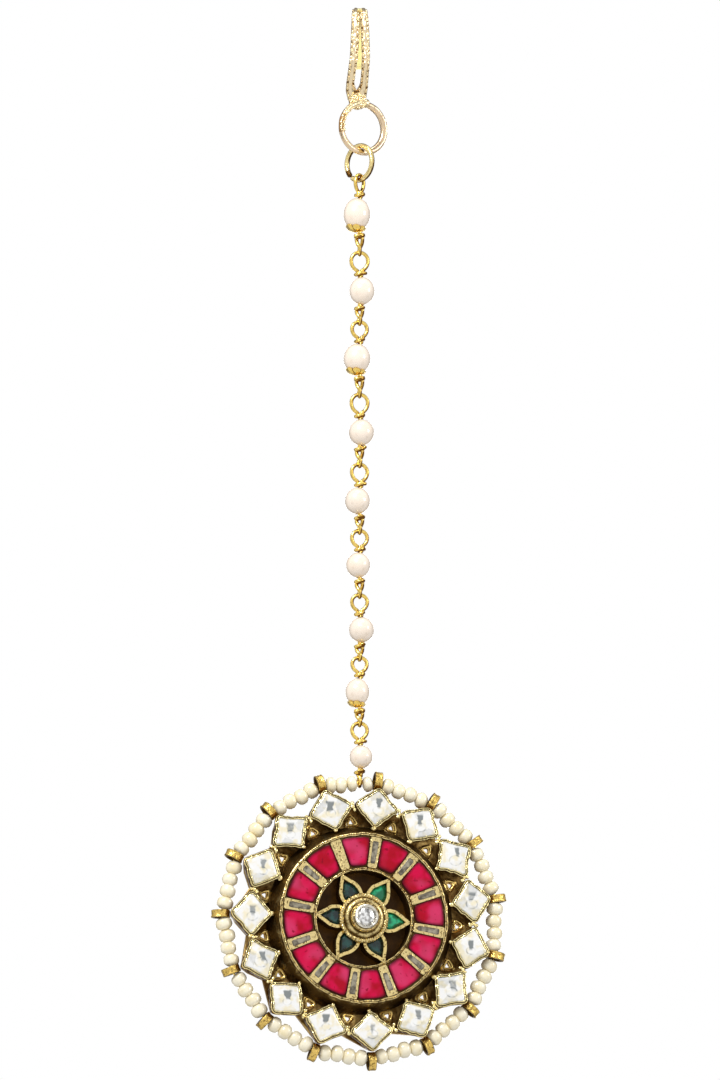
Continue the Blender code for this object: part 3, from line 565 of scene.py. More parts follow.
HOOK_GOLD = gold("pale_cast_gold", (0.94, 0.77, 0.50), (0.22, 0.12, 0.04), 0.24, 0.12, 0.0004)
RING_GOLD = gold("rose_cast_gold", (0.88, 0.68, 0.45), (0.34, 0.19, 0.08), 0.22, 0.2, 0.0005)
GRAIN_GOLD = gold("grain_gold", (0.98, 0.81, 0.50), (0.20, 0.10, 0.03), 0.22, 0.6, 0.00025)
# Painted light: the back leg's gold is lighter and less metallic than the strips', for the light
# that reaches it through the slot.
PAINTED_LIT_LEG_GOLD = gold("painted_lit_leg_gold", (1.0, 0.86, 0.38), (0.80, 0.55, 0.18), 0.2, 0.1, 0.0004,
                metallic=0.4)

strips = Skin()
grains = []
for side in (-1, 1):
    rows, darks = [], []
    for i in range(HOOK_STEPS + 1):
        along = STRIP_START + (STRIP_END - STRIP_START) * i / HOOK_STEPS
        half = between(HOOK_SHAPE, "half", along)
        slot = between(HOOK_SHAPE, "slot", along)
        middle = between(HOOK_SHAPE, "lean", along) + side * (half + slot) / 2
        wide = (half - slot) / 2
        row, dark = [], []
        for rung in STRIP_SECTION:
            wave = uneven(Vector((side * 3 + rung["across"], along * 60, 0)), 1.0) * 0.10
            out = HOOK_THICK * (rung["out"] * (1 + wave) * STRIP_BODY - STRIP_SINK)
            row.append(on_hook(along, middle + rung["across"] * wide, out))
            groove = Vector((side * 9 + (rung["across"] > 0), along * 110, 0))
            # Painted shade: darker in the grooves and beaded edges, unevenly along the strip.
            dark.append(rung["stain_and_shade"] * (0.7 + 1.5 * uneven(groove, 1.0)))
        rows.append(row)
        darks.append(dark)
    strips.loft(rows, darks)
    for edge in (-1, 1):
        along = GRAINS_START
        pace = GRAIN_PACE_OUTSIDE if edge == side else GRAIN_PACE_INSIDE
        while along < GRAINS_END:
            half = between(HOOK_SHAPE, "half", along)
            slot = between(HOOK_SHAPE, "slot", along)
            lean = between(HOOK_SHAPE, "lean", along)
            wide = (half - slot) / 2
            across = lean + side * (half + slot) / 2 + edge * (wide - GRAIN * 0.55)
            place = on_hook(along, across, HOOK_THICK * 0.14)
            ahead = on_hook(along + 0.01, across, HOOK_THICK * 0.14)
            size = GRAIN * (0.88 + 0.4 * uneven(Vector((edge, side, along * 90)), 1.0))
            grains.append((place, (ahead - place).normalized(), size, size * 2.2))
            along += pace * (1 + 0.7 * uneven(Vector((edge, side, along * 60)), 1.0))

rows = []
for i in range(LEG_STEPS + 1):
    along = LEG_START + (LEG_END - LEG_START) * i / LEG_STEPS
    fade = min(1.0, (along - LEG_START) / 0.10)
    taper = max(0.0, along - LEG_TAPER_START) / (LEG_END - LEG_TAPER_START)
    half = (LEG_HALF * fade + LEG_HALF_AT_BEND * (1 - fade)) * (1 - LEG_TAPER * taper)
    row = []
    for j in range(LEG_SIDES):
        angle = math.tau * j / LEG_SIDES
        across = math.copysign(abs(math.cos(angle)) ** 0.6, math.cos(angle)) * half
        out = math.copysign(abs(math.sin(angle)) ** 0.8, math.sin(angle)) * HOOK_THICK * 0.36
        row.append(on_hook(along, across, out))
    rows.append(row)
leg = Skin()
leg.loft(rows)
strips.piece("hook_strips", HOOK_GOLD, "chain", "old_gold", ["hair_hook"])
leg.piece("hook_leg", PAINTED_LIT_LEG_GOLD, "chain", "old_gold", [])

# The round ring under the hook, and the lug of fine grains that joins it to the foot.
RING_ACROSS = 0.0079
RING_WIRE = 0.00105
RING_RIDGES = 5
RING_SIDES = 30
RING_POINTS = 144
RING_SHIFT = 0.00045
RING_TURN = math.radians(17)
RING_GRAINED_FROM = math.radians(255)
SHOULDER_GRAINS = 21
LUG_GRAINS = 64
LUG_SHIFT = -0.0003
LUG_RISE = 0.0003
LUG_HALF = 0.00125
LUG_TALL = 0.00115
LUG_DEEP = 0.00062
LUG_SIDES = 18
LUG_STEPS = 12
GOLDEN_TURN = 2.39996

ring_middle = Vector((RING_SHIFT, 0, -HOOK_HEIGHT - RING_ACROSS / 2))
ring_radius = (RING_ACROSS - RING_WIRE) / 2


def on_ring(angle, out=0.0, front=0.0):
    """A point of the hook's ring, clockwise from its top."""
    radius = ring_radius + out
    point = Vector((radius * math.sin(angle), -front, radius * math.cos(angle)))
    return ring_middle + Matrix.Rotation(RING_TURN, 3, "Z") @ point


ring = Skin()
rows, darks = [], []
for i in range(RING_POINTS):
    angle = math.tau * i / RING_POINTS
    wander = uneven(on_ring(angle), 0.0012)
    thick = RING_WIRE / 2 * (0.90 + 0.14 * math.sin(angle) + 0.06 * wander)
    grained = angle > RING_GRAINED_FROM
    row, dark = [], []
    for j in range(RING_SIDES):
        turn = math.tau * j / RING_SIDES
        ridge = math.cos(turn * RING_RIDGES + wander * 0.6)
        reach = thick * (0.96 + 0.04 * ridge)
        row.append(on_ring(angle, reach * math.cos(turn), reach * math.sin(turn)))
        # Painted shade: darker in the grooves between the ridges and under the grains.
        dark.append(0.85 if grained else 0.75 * max(0.0, -ridge - 0.4) + 0.05)
    rows.append(row)
    darks.append(dark)
ring.loft(rows, darks, closed=True)
ring.piece("hook_ring", RING_GOLD, "chain", "old_gold", [])

for k in range(2 * SHOULDER_GRAINS):
    angle = math.radians(-8 - 92 * (k % SHOULDER_GRAINS) / (SHOULDER_GRAINS - 1))
    line = k // SHOULDER_GRAINS
    out = (line - 0.5) * GRAIN * 1.15 + GRAIN * 0.2 * math.sin(k * 2.1)
    grains.append((on_ring(angle, out, RING_WIRE * 0.38), (0.0, 0.0, 1.0),
                   GRAIN * 0.95, GRAIN * 0.95))
lug_middle = ring_middle.z + ring_radius + LUG_RISE
for k in range(LUG_GRAINS):
    turn = k * GOLDEN_TURN
    reach = math.sqrt(k / LUG_GRAINS)
    across = math.sin(turn) * reach * (LUG_HALF + 0.00003) + LUG_SHIFT
    up = math.cos(turn) * reach * LUG_TALL
    front = (LUG_DEEP - 0.0001) * math.sqrt(max(0.0, 1 - 0.8 * reach * reach)) + 0.00020
    grains.append((Vector((across, -front, lug_middle + up)), (0.0, 0.0, 1.0),
                   GRAIN * 1.15, GRAIN))
beads("hook_grains", grains, GRAIN_GOLD, "chain", segments=10, rings=7,
      unevenness=0.16)
lug = Skin()
rows = []
for i in range(LUG_STEPS + 1):
    turn = math.pi * (i + 0.02) / (LUG_STEPS + 0.04)
    row = []
    for j in range(LUG_SIDES):
        angle = math.tau * j / LUG_SIDES
        row.append(Vector((LUG_SHIFT + LUG_HALF * math.sin(turn) * math.cos(angle),
                           LUG_DEEP * math.sin(turn) * math.sin(angle),
                           lug_middle + LUG_TALL * math.cos(turn))))
    rows.append(row)
lug.loft(rows, 0.9)
leaf = [on_ring(math.radians(angle), 0.0001, 0.0002) for angle in range(-58, 12, 5)]
lug.tube(leaf, [RING_WIRE * (0.30 + 0.024 * i) for i in range(len(leaf))], 16, stain_and_shade=0.25,
         flat=0.9)
lug.piece("hook_lug", GRAIN_GOLD, "chain", "old_gold", [])


# Jump ring. A round wire of yellow gold with painted shade along its lower right, bent so
# that its two ends almost meet at the lower left. It joins the hook's ring to the chain.
JUMP_ACROSS = 0.0056
JUMP_WIRE = 0.00075
JUMP_SPLIT = 0.0004
JUMP_OPENING = math.radians(222)
JUMP_TURN = math.radians(-56)
JUMP_STEPS = 72

JUMP_GOLD = gold("yellow_ring_gold", (1.0, 0.80, 0.36), (0.10, 0.045, 0.008), 0.18, 0.3,
                 0.0003)


def painted_side_shade(least, most, side=Vector((0.75, -0.15, -0.64))):
    """How dark a wire is painted on each side: painted shade, darkest at its lower right."""
    return lambda out: least + (most - least) * max(0.0, out.dot(side)) ** 1.4


low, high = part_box("jump_ring")
jump_middle = Vector((0, 0, high.z - JUMP_ACROSS / 2))
jump_radius = (JUMP_ACROSS - JUMP_WIRE) / 2
opening = JUMP_SPLIT / jump_radius
path = []
for i in range(JUMP_STEPS + 1):
    angle = JUMP_OPENING + opening / 2 + (math.tau - opening) * i / JUMP_STEPS
    point = Vector((jump_radius * math.sin(angle), 0, jump_radius * math.cos(angle)))
    path.append(jump_middle + Matrix.Rotation(JUMP_TURN, 3, "Z") @ point)
jump = Skin()
jump.tube(path[1:-1], JUMP_WIRE / 2 * 0.98, 18, stain_and_shade=painted_side_shade(least=0.16, most=1.7))
jump.tube(path[1:5], JUMP_WIRE / 2, 14, stain_and_shade=1.0)
jump.piece("jump_ring_wire", JUMP_GOLD, "chain", "old_gold", ["jump_ring"])


# Chain wires. Each is one bright gold wire through a pearl, with painted shade along its lower
# right.
# At both ends it is bent into a loop and wound round the loop's own neck. The lower loop
# of one wire holds the upper loop of the next.
CHAIN_WIRE = 0.00053
WRAP_GAP = 0.0001
WRAP_HEIGHT = 0.00075
WRAP_RADIUS = 0.00054
WRAP_TILT = 0.22
LOOP_WIDTH = 0.0023
LOWER_LOOP_WIDTH = 0.0012
LEG_SPREAD = 0.00042
LAST_LEG_SPREAD = 0.0002
LOOP_STEPS = 37
WOUND_STEPS = 22

# How far each wire's upper and lower loop are turned about the chain, in degrees, the
# width of its upper loop as a share, and the turns of wire round its upper and lower neck.
CHAIN = (
    {"turn": 34, "turn_below": 84, "loop": 0.72, "wound": 1.6, "wound_below": 1.9},
    {"turn": -4, "turn_below": 92, "loop": 1.04, "wound": 1.5, "wound_below": 1.4},
    {"turn": 4, "turn_below": 87, "loop": 0.96, "wound": 1.2, "wound_below": 1.9},
    {"turn": -3, "turn_below": 94, "loop": 1.02, "wound": 1.7, "wound_below": 1.6},
    {"turn": 5, "turn_below": 90, "loop": 1.00, "wound": 1.4, "wound_below": 1.8},
    {"turn": 2, "turn_below": 88, "loop": 0.97, "wound": 1.6, "wound_below": 1.4},
    {"turn": -5, "turn_below": 92, "loop": 0.95, "wound": 1.3, "wound_below": 1.7},
    {"turn": 3, "turn_below": 91, "loop": 0.93, "wound": 1.7, "wound_below": 1.9},
    {"turn": 0, "turn_below": 90, "loop": 0.95, "wound": 1.5, "wound_below": 1.8},
)

WIRE_GOLD = gold("bright_wire_gold", (1.0, 0.72, 0.19), (0.22, 0.09, 0.008), 0.15, 0.35,
                 0.0003, 0.00002)


def looped_end(neck, height, width, turn, up, wound, spread=LEG_SPREAD):
    """A wire's end: up one side of the loop, down the other and round its own neck. An
    upper loop is round; a lower one starts as wide as its neck and turns edge-on."""
    leg = CHAIN_WIRE * 0.54
    path = [Vector((leg, 0, neck - up * WRAP_HEIGHT * 0.9))]
    for i in range(LOOP_STEPS):
        angle = math.tau * (i + 0.3) / (LOOP_STEPS - 0.4)
        share = (1 - math.cos(angle)) / 2
        side = 1 if angle < math.pi else -1
        if up > 0:
            across = width / 2 / 0.95 * math.sin(angle) * (0.78 + 0.22 * math.sin(angle / 2))
            if share < 0.5:
                across = side * max(leg, abs(across))
            twist = 0.0
        else:
            tip = math.sqrt(max(0.0, 1 - max(0.0, share * 2 - 1) ** 2))
            across = side * (spread + (width / 2 - spread) * min(1, share * 2)) * tip
            twist = math.radians(min(1.0, share * 1.6 * LEG_SPREAD / spread) * turn)
        point = Vector((across, 0, neck + up * height * share))
        path.append(Matrix.Rotation(twist, 3, "Z") @ point)
    steps = int(WOUND_STEPS * wound)
    for i in range(3, steps + 1):
        share = i / steps
        angle = math.pi + up * math.tau * wound * share
        radius = leg + (WRAP_RADIUS - leg) * min(1.0, share * 4)
        radius *= 1 + 0.55 * max(0.0, share - 0.9) / 0.1
        drop = (WRAP_HEIGHT - CHAIN_WIRE) * share + CHAIN_WIRE * 0.45
        tilt = WRAP_TILT * radius * math.cos(angle)
        path.append(Vector((radius * math.cos(angle), radius * math.sin(angle),
                            neck - up * drop + tilt)))
    turned = Matrix.Rotation(math.radians(turn if up > 0 else 0), 3, "Z")
    return [turned @ point for point in path]


for number, link in enumerate(CHAIN, 1):
    low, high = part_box(f"chain_wire_{number}")
    pearl_low, pearl_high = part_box(f"chain_pearl_{number}")
    has_cap = f"bead_cap_{number}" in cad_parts
    cap_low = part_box(f"bead_cap_{number}")[0].z if has_cap else pearl_low.z
    neck = pearl_high.z + WRAP_GAP + WRAP_HEIGHT
    neck_below = cap_low - WRAP_GAP - WRAP_HEIGHT
    upper = high.z - CHAIN_WIRE / 2 - neck
    lower = neck_below - low.z - CHAIN_WIRE / 2
    wire = Skin()
    wire.tube([Vector((0, 0, neck - 0.0004)), Vector((0, 0, neck_below + 0.0004))],
              CHAIN_WIRE / 2, 10)
    spread = LAST_LEG_SPREAD if number == len(CHAIN) else LEG_SPREAD
    for end in (looped_end(neck, upper, LOOP_WIDTH * link["loop"], link["turn"], 1,
                           link["wound"]),
                looped_end(neck_below, lower, LOWER_LOOP_WIDTH, link["turn_below"], -1,
                           link["wound_below"], spread)):
        wire.tube(end, CHAIN_WIRE / 2, 14, stain_and_shade=painted_side_shade(least=0.12, most=1.7))
    wire.piece(f"wire_link_{number}", WIRE_GOLD, "chain", "bright_gold",
               [f"chain_wire_{number}"])


# Chain pearls. Small cultured pearls, cream with a breath of pink, a little longer than
# wide and never quite round, each drilled from end to end for its wire.
def nacre(name, colour, shade, roughness):
    """Pearl: a soft body colour under a clear, slightly clouded gloss."""
    finish = Finish(name, {"Coat Weight": 1.0, "Coat Roughness": 0.12, "Coat IOR": 1.7})
    cloud = finish.noise(0.0016, 3)
    finish.set("Base Color", finish.mix(finish.step(cloud, 0.35, 0.75), colour, shade))
    finish.set("Roughness", cloud * 0.12 + roughness)
    finish.bump(cloud, 0.000006)
    return finish.material


PEARL_HOLE = 0.00034
PEARL_STEPS = 30
PEARL_SIDES = 40
PEARL_MOUTH = 0.19
PEARL_LUMPS = 0.018
NACRE = nacre("pink_nacre", (0.87, 0.75, 0.63), (0.86, 0.72, 0.58), 0.24)

for number in range(1, len(CHAIN) + 1):
    low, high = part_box(f"chain_pearl_{number}")
    middle = (low + high) / 2
    across = (high.x - low.x) / 2
    tall = (high.z - low.z) / 2
    pearl = Skin()
    rows = []
    for i in range(PEARL_STEPS + 1):
        turn = PEARL_MOUTH + (math.pi - 2 * PEARL_MOUTH) * i / PEARL_STEPS
        row = []
        for j in range(PEARL_SIDES):
            angle = math.tau * j / PEARL_SIDES
            out = Vector((math.sin(turn) * math.cos(angle), math.sin(turn) * math.sin(angle),
                          math.cos(turn)))
            swell = 1 + PEARL_LUMPS * uneven(out, 0.9, number * 3.1)
            row.append(middle + Vector((out.x * across * swell, out.y * across * swell,
                                        out.z * tall)))
        rows.append(row)
    for level in (tall * 0.9, -tall * 0.9):
        rows.append([Vector((PEARL_HOLE * math.cos(math.tau * j / PEARL_SIDES),
                             PEARL_HOLE * math.sin(math.tau * j / PEARL_SIDES),
                             middle.z - level)) for j in range(PEARL_SIDES)])
    pearl.loft(rows, closed=True)
    pearl.piece(f"pearl_{number}", NACRE, "chain", "pearl", [f"chain_pearl_{number}"])


# Leaf caps. A thin gold cup of pointed leaves under the first, third and eighth pearl,
# pressed to its round, with its longest leaves at the left.
CAPPED_PEARLS = (1, 3, 8)
CAP_LEAVES = 7
CAP_THICK = 0.00016
CAP_CLEAR = 0.00004
CAP_START_LEAN = 0.30
CAP_END_LEAN = math.radians(52)
CAP_STEPS = 9
LEAF_STEPS = 12

for number in CAPPED_PEARLS:
    low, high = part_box(f"chain_pearl_{number}")
    middle = (low + high) / 2
    radius = (high.x - low.x) / 2 + CAP_CLEAR
    tall = (high.z - low.z) / 2 + 2 * CAP_CLEAR
    cap = Skin()
    rows, darks = [], []
    for j in range(CAP_LEAVES * LEAF_STEPS):
        angle = math.tau * j / (CAP_LEAVES * LEAF_STEPS)
        leaf = abs(math.cos(angle * CAP_LEAVES / 2)) ** 0.7
        longest = 0.5 - 0.5 * math.cos(angle)
        reach = 0.50 + 0.26 * longest + (0.10 + 0.14 * longest) * leaf
        outer, inner = [], []
        for i in range(CAP_STEPS):
            lean = CAP_START_LEAN + (CAP_END_LEAN - CAP_START_LEAN) * reach * i / (CAP_STEPS - 1)
            ridge = 0.00011 * leaf * math.sin(math.pi * (i + 1) / CAP_STEPS)
            for shell, lift in ((outer, CAP_THICK + ridge), (inner, 0.0)):
                shell.append(Vector((
                    middle.x + (radius + lift) * math.sin(lean) * math.cos(angle),
                    middle.y + (radius + lift) * math.sin(lean) * math.sin(angle),
                    middle.z - (tall + lift) * math.cos(lean))))
        rows.append(outer + inner[::-1])
        # Painted shade: darker between the leaves.
        darks.append([max(0.0, 0.9 - 1.6 * leaf)] * (2 * CAP_STEPS))
    cap.loft(rows, darks, closed=True)
    cap.piece(f"leaf_cap_{number}", WIRE_GOLD, "chain", "bright_gold", [f"bead_cap_{number}"])


# Collets. Each white stone sits in a deep diamond box of gold strip. Pure gold foil is
# pressed between stone and strip, and leaves a bright, uneven lip with a dark line round
# it. The boxes are soldered corner to corner and stand on the back plate.
STONES = 15
STONE_TURN = math.radians(7.3)
STONE_ACROSS = 0.0055
STONE_ALONG = 0.0050
COLLET_WALL = 0.00045
STONE_CLEAR = 0.00008
COLLET_FRONT = -0.0018
BLOB_WIDE = 0.0006
BLOB_LONG = 0.0005
BLOB_PACE = 0.00042

bay = math.tau / STONES
collet_across = STONE_ACROSS + 2 * (STONE_CLEAR + COLLET_WALL)
collet_along = STONE_ALONG + 2 * (STONE_CLEAR + COLLET_WALL)
stone_ring = collet_across / 2 / math.sin(bay / 2)
low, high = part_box("centre_stone")
jewel_x = (low.x + high.x) / 2
jewel_z = (low.z + high.z) / 2

# Steps outwards from the stone's edge: how far out, how far behind the collet's front,
# and how dark a point is, painted shade and stain that deepen in the groove and down the wall.
COLLET_SECTION = (
    {"out": 0.00002, "back": 0.00060, "stain_and_shade": 1.0},
    {"out": 0.00002, "back": 0.00002, "stain_and_shade": 0.5},
    {"out": 0.00004, "back": -0.00020, "stain_and_shade": 0.0},
    {"out": 0.00014, "back": -0.00016, "stain_and_shade": 0.0},
    {"out": 0.00019, "back": 0.00014, "stain_and_shade": 1.0},
    {"out": 0.00024, "back": 0.00014, "stain_and_shade": 1.0},
    {"out": 0.00029, "back": -0.00010, "stain_and_shade": 0.10},
    {"out": 0.00038, "back": -0.00008, "stain_and_shade": 0.25},
    {"out": 0.00044, "back": 0.00010, "stain_and_shade": 0.9},
    {"out": 0.00044, "back": 0.00060, "stain_and_shade": 0.9},
    {"out": 0.00020, "back": 0.00200, "stain_and_shade": 0.8},
    {"out": -0.00010, "back": 0.00345, "stain_and_shade": 1.0},
    {"out": -0.00030, "back": 0.00345, "stain_and_shade": 1.0},
    {"out": -0.00020, "back": 0.00180, "stain_and_shade": 1.0},
)


def spot(angle, across, up, depth):
    """A point of the jewel, drawn about its top and turned clockwise by an angle."""
    sine, cosine = math.sin(angle), math.cos(angle)
    return Vector((jewel_x + across * cosine + up * sine, depth,
                   jewel_z + up * cosine - across * sine))


def bays(shift=0.0):
    """The number and the angle of each white stone, or of the place a shift after it."""
    return [(k, STONE_TURN + bay * (k + shift)) for k in range(STONES)]


def softened(outline, cut, times=2):
    """A closed outline with its corners cut again and again."""
    for _ in range(times):
        finer = []
        for i, (x, y) in enumerate(outline):
            after_x, after_y = outline[(i + 1) % len(outline)]
            finer.append((x + (after_x - x) * cut, y + (after_y - y) * cut))
            finer.append((after_x + (x - after_x) * cut, after_y + (y - after_y) * cut))
        outline = finer
    return outline


def spaced(outline, step):
    """Points at even steps along a closed outline, each with its outward normal."""
    corners = [Vector(point) for point in outline]
    lengths = [(corners[(i + 1) % len(corners)] - corner).length
               for i, corner in enumerate(corners)]
    count = max(8, round(sum(lengths) / step))
    points = []
    i, passed = 0, 0.0
    for k in range(count):
        travel = sum(lengths) * k / count
        while passed + lengths[i] < travel:
            passed += lengths[i]
            i += 1
        after = corners[(i + 1) % len(corners)]
        points.append(corners[i].lerp(after, (travel - passed) / lengths[i]))
    turning = sum(a.x * b.y - b.x * a.y for a, b in zip(points, points[1:] + points[:1]))
    normals = []
    for k in range(count):
        along = (points[(k + 1) % count] - points[k - 1]).normalized()
        normals.append(Vector((along.y, -along.x)) * (1 if turning > 0 else -1))
    return points, normals


def ribbon(skin, outline, section, front, angle, wander=0.0, waves=0.0006, seed=0.0,
           step=0.00012):
    """A wall along a closed outline; its lip wanders in and out, up and down."""
    points, normals = spaced(outline, step)
    rows = []
    for point, normal in zip(points, normals):
        here = Vector((point.x, point.y, 0))
        lip = uneven(here, waves, seed) * wander
        crest = uneven(here, waves * 0.7, seed + 40) * wander
        row = []
        for rung in section:
            shallow = max(0.0, 1 - abs(rung["back"]) / 0.0006)
            across = point + normal * (rung["out"] + lip * shallow)
            row.append(spot(angle, across.x, across.y,
                            front + rung["back"] + crest * shallow * 0.8))
        rows.append(row)
    skin.loft(rows, [rung["stain_and_shade"] for rung in section], closed=True)


def diamond(across, along, lift):
    """A diamond about the top of the ring, with corners hardly softened."""
    outline = [(0, stone_ring + along), (across, stone_ring), (0, stone_ring - along),
               (-across, stone_ring)]
    sides = []
    for i, (x, y) in enumerate(outline):
        after_x, after_y = outline[(i + 1) % 4]
        sides.append((x, y))
        sides.append(((x + after_x) / 2 + (after_x + x) / 2 * lift,
                      (y + after_y) / 2 + ((y + after_y) / 2 - stone_ring) * lift))
    return softened(sides, 0.10)


COLLET_GOLD = gold("foil_gold", (1.0, 0.85, 0.42), (0.14, 0.066, 0.011), 0.2, 0.7,
                   0.00028, 0.00008)

collets = Skin()
blobs = []
for k, angle in bays():
    grow = 1 + 0.03 * math.sin(k * 4.1)
    outline = diamond(STONE_ACROSS / 2 * grow, STONE_ALONG / 2 * grow,
                      -0.03 + 0.05 * math.sin(k * 2.3))
    ribbon(collets, outline, COLLET_SECTION, COLLET_FRONT, angle, 0.00019, 0.0009, k * 5.0)
    for i in (-1, 0, 1):
        corner = spot(angle + bay / 2, 0.00016 * math.sin((i + 1) * 2.1 + k),
                      stone_ring + BLOB_PACE * i, COLLET_FRONT + 0.00016)
        blobs.append((corner, (0.0, 1.0, 0.0), BLOB_WIDE, BLOB_LONG))
    tip = spot(angle, 0.0001 * math.sin(k * 3.0), stone_ring - STONE_ALONG / 2 - 0.0004,
               COLLET_FRONT + 0.00018)
    blobs.append((tip, (0.0, 1.0, 0.0), BLOB_WIDE + 0.0001, BLOB_LONG))
collets.piece("collets", COLLET_GOLD, "pendant", "old_gold", ["pendant_frame"])
beads("solder_blobs", blobs, COLLET_GOLD, "pendant", segments=12, rings=8,
      unevenness=0.25)


# White stones. Flat polki diamonds, cut by hand with a few broad facets over silver foil.
# They are white round a painted grey wedge, a painted reflection of the dark over the camera.
POLKI_FRONT = -0.00208
POLKI_EDGE = -0.00178
POLKI_GIRDLE = -0.00150
POLKI_BACK = 0.00110
POLKI_STEPS = 24
POLKI_CUTS = 6
MM = 0.001


def polki_finish():
    """Bright foil seen through a clear stone: white and cream, grey where its points carry painted
    reflection and shade.
    """
    finish = Finish("polki_foiled", {"Metallic": 0.25, "Coat Weight": 1.0,
                                     "Coat Roughness": 0.03, "IOR": 1.7})
    cloud = finish.noise(0.0011, 2)
    veil = finish.noise(0.0004, 3)
    white = finish.mix(finish.step(cloud, 0.42, 0.66), (0.88, 0.875, 0.86),
                       (0.86, 0.78, 0.56))
    grey = finish.step(finish.stain_and_shade() + (veil - 0.5) * 0.3, 0.0, 0.9)
    finish.set("Base Color", finish.mix(grey, white, (0.19, 0.21, 0.21)))
    finish.set("Roughness", cloud * 0.16 + 0.05)
    return finish.material


def painted_wedge_reflection(across, up, wedge):
    """How grey a stone is painted at a point given in mm from its middle: a painted reflection in a
    wedge and a ring.
    """
    wander = uneven(Vector((across, up, 0)), 0.45, wedge["seed"])
    sunk = (wedge["top"] - up) / wedge["long"]
    half = wedge["wide"] * (1 - 0.5 * sunk) + 0.22 * wander
    middle = wedge["across"] + wedge["bend"] * sunk * sunk
    inside = min(1.0, max(0.0, (half - abs(across - middle)) / 0.2)) * wedge["grey"]
    ends = min(1.0, max(0.0, sunk / 0.2)) * min(1.0, max(0.0, (1 - sunk) / 0.35))
    reach = math.hypot(across - wedge["across"] * 0.5, (up + 0.45) * 1.25)
    ring = max(0.0, 1 - abs(reach - wedge["round"]) / 0.16) * (0.30 + 0.5 * wander)
    return inside * ends + max(0.0, ring)


POLKI = polki_finish()
drop = POLKI_EDGE - POLKI_FRONT
for k, angle in bays():
    lot = random.Random(k)
    grow = 1.02 + 0.03 * math.sin(k * 4.1)
    corners, _ = spaced(diamond(STONE_ACROSS / 2 * grow, STONE_ALONG / 2 * grow,
                                -0.02 + 0.05 * math.sin(k * 2.3)), 0.00014)
    middle = Vector((0, stone_ring))
    centre = spot(angle, 0, stone_ring, POLKI_FRONT)
    wedge = {"across": lot.uniform(-0.15, 0.4), "top": lot.uniform(1.1, 1.5),
             "long": lot.uniform(1.5, 2.1), "wide": lot.uniform(0.48, 0.74),
             "round": lot.uniform(0.6, 0.9), "seed": k * 3.1,
             "bend": lot.uniform(-0.4, 0.5), "grey": lot.uniform(0.55, 1.0)}
    cuts = [(math.tau * (i + lot.uniform(-0.3, 0.3)) / POLKI_CUTS, lot.uniform(0.07, 0.15),
             lot.uniform(0.6, 1.2), lot.uniform(-0.2, 0.34)) for i in range(POLKI_CUTS)]
    rows = [[spot(angle, *middle.lerp(corner, 0.85), POLKI_BACK) for corner in corners],
            [spot(angle, *corner, POLKI_GIRDLE) for corner in corners]]
    darks = [[0.0] * len(corners)] * 2
    for i in range(POLKI_STEPS):
        share = 0.995 - 0.985 * i / (POLKI_STEPS - 1)
        row, dark = [], []
        for corner in corners:
            point = spot(angle, *middle.lerp(corner, share), POLKI_FRONT)
            across = (point.x - centre.x) / MM
            up = (point.z - centre.z) / MM
            fall, tint = max(
                (slope * (across * math.sin(turn) + up * math.cos(turn) - start), tint)
                for turn, slope, start, tint in cuts)
            edge = max(0.0, share - 0.86) / 0.14 * drop
            point.y += min(drop * 0.8, max(edge, fall * MM))
            row.append(point)
            # Painted reflection and shade: the grey wedge and ring, a grey tint on some facets, and
            # darker edges.
            shade = painted_wedge_reflection(across, up, wedge) + (max(0.0, tint) if fall > 0 else 0.0)
            dark.append(shade + max(0.0, share - 0.9) * 5)
        rows.append(row)
        darks.append(dark)
    stone = Skin()
    stone.loft(rows, darks)
    stone.piece(f"polki_stone_{k + 1}", POLKI, "pendant", "polki", [f"polki_{k + 1}"])


# Eyelets. A strip of gold bent into a round eye at the outer corner of each collet. The
# string of edge pearls runs through them.
EYELET_ACROSS = 0.00264
EYELET_BORE = 0.00156
EYELET_WIDTH = 0.00115
EYELET_SIDES = 32
SOLDER = 0.0003

eyelet_ring = stone_ring + collet_along / 2 - SOLDER + EYELET_ACROSS / 2
EYELET_GOLD = gold("eyelet_gold", (0.84, 0.58, 0.16), (0.13, 0.075, 0.02), 0.26, 0.8, 0.00028,
                   0.00010)

# Round the strip's section: shares of its width and of its thickness, and darkness.
EYELET_SECTION = (
    {"along": -0.50, "out": 0.30, "stain_and_shade": 0.9}, {"along": -0.49, "out": 0.85, "stain_and_shade": 0.6},
    {"along": -0.40, "out": 1.00, "stain_and_shade": 0.3}, {"along": -0.20, "out": 0.92, "stain_and_shade": 0.1},
    {"along": 0.00, "out": 0.90, "stain_and_shade": 0.0}, {"along": 0.20, "out": 0.92, "stain_and_shade": 0.1},
    {"along": 0.40, "out": 1.00, "stain_and_shade": 0.3}, {"along": 0.49, "out": 0.85, "stain_and_shade": 0.6},
    {"along": 0.50, "out": 0.30, "stain_and_shade": 0.9}, {"along": 0.42, "out": 0.00, "stain_and_shade": 1.0},
    {"along": -0.42, "out": 0.00, "stain_and_shade": 1.0},
)
eyelets = Skin()
for k, angle in bays():
    lean = math.radians(5) * math.sin(k * 2.7)
    rows = []
    for i in range(EYELET_SIDES):
        turn = math.tau * i / EYELET_SIDES
        row = []
        for rung in EYELET_SECTION:
            radius = EYELET_BORE / 2 + (EYELET_ACROSS - EYELET_BORE) / 2 * rung["out"]
            along = rung["along"] * EYELET_WIDTH
            up = eyelet_ring + radius * math.cos(turn) * 1.02
            across = along + (up - stone_ring) * math.sin(lean) * 0.3
            dent = 0.00004 * uneven(Vector((across, up, turn * 0.001)), 0.0004, k) - 0.00004
            row.append(spot(angle, across * 0.94, up + dent, radius * math.sin(turn) * 0.96))
        rows.append(row)
    eyelets.loft(rows, [rung["stain_and_shade"] for rung in EYELET_SECTION], closed=True)
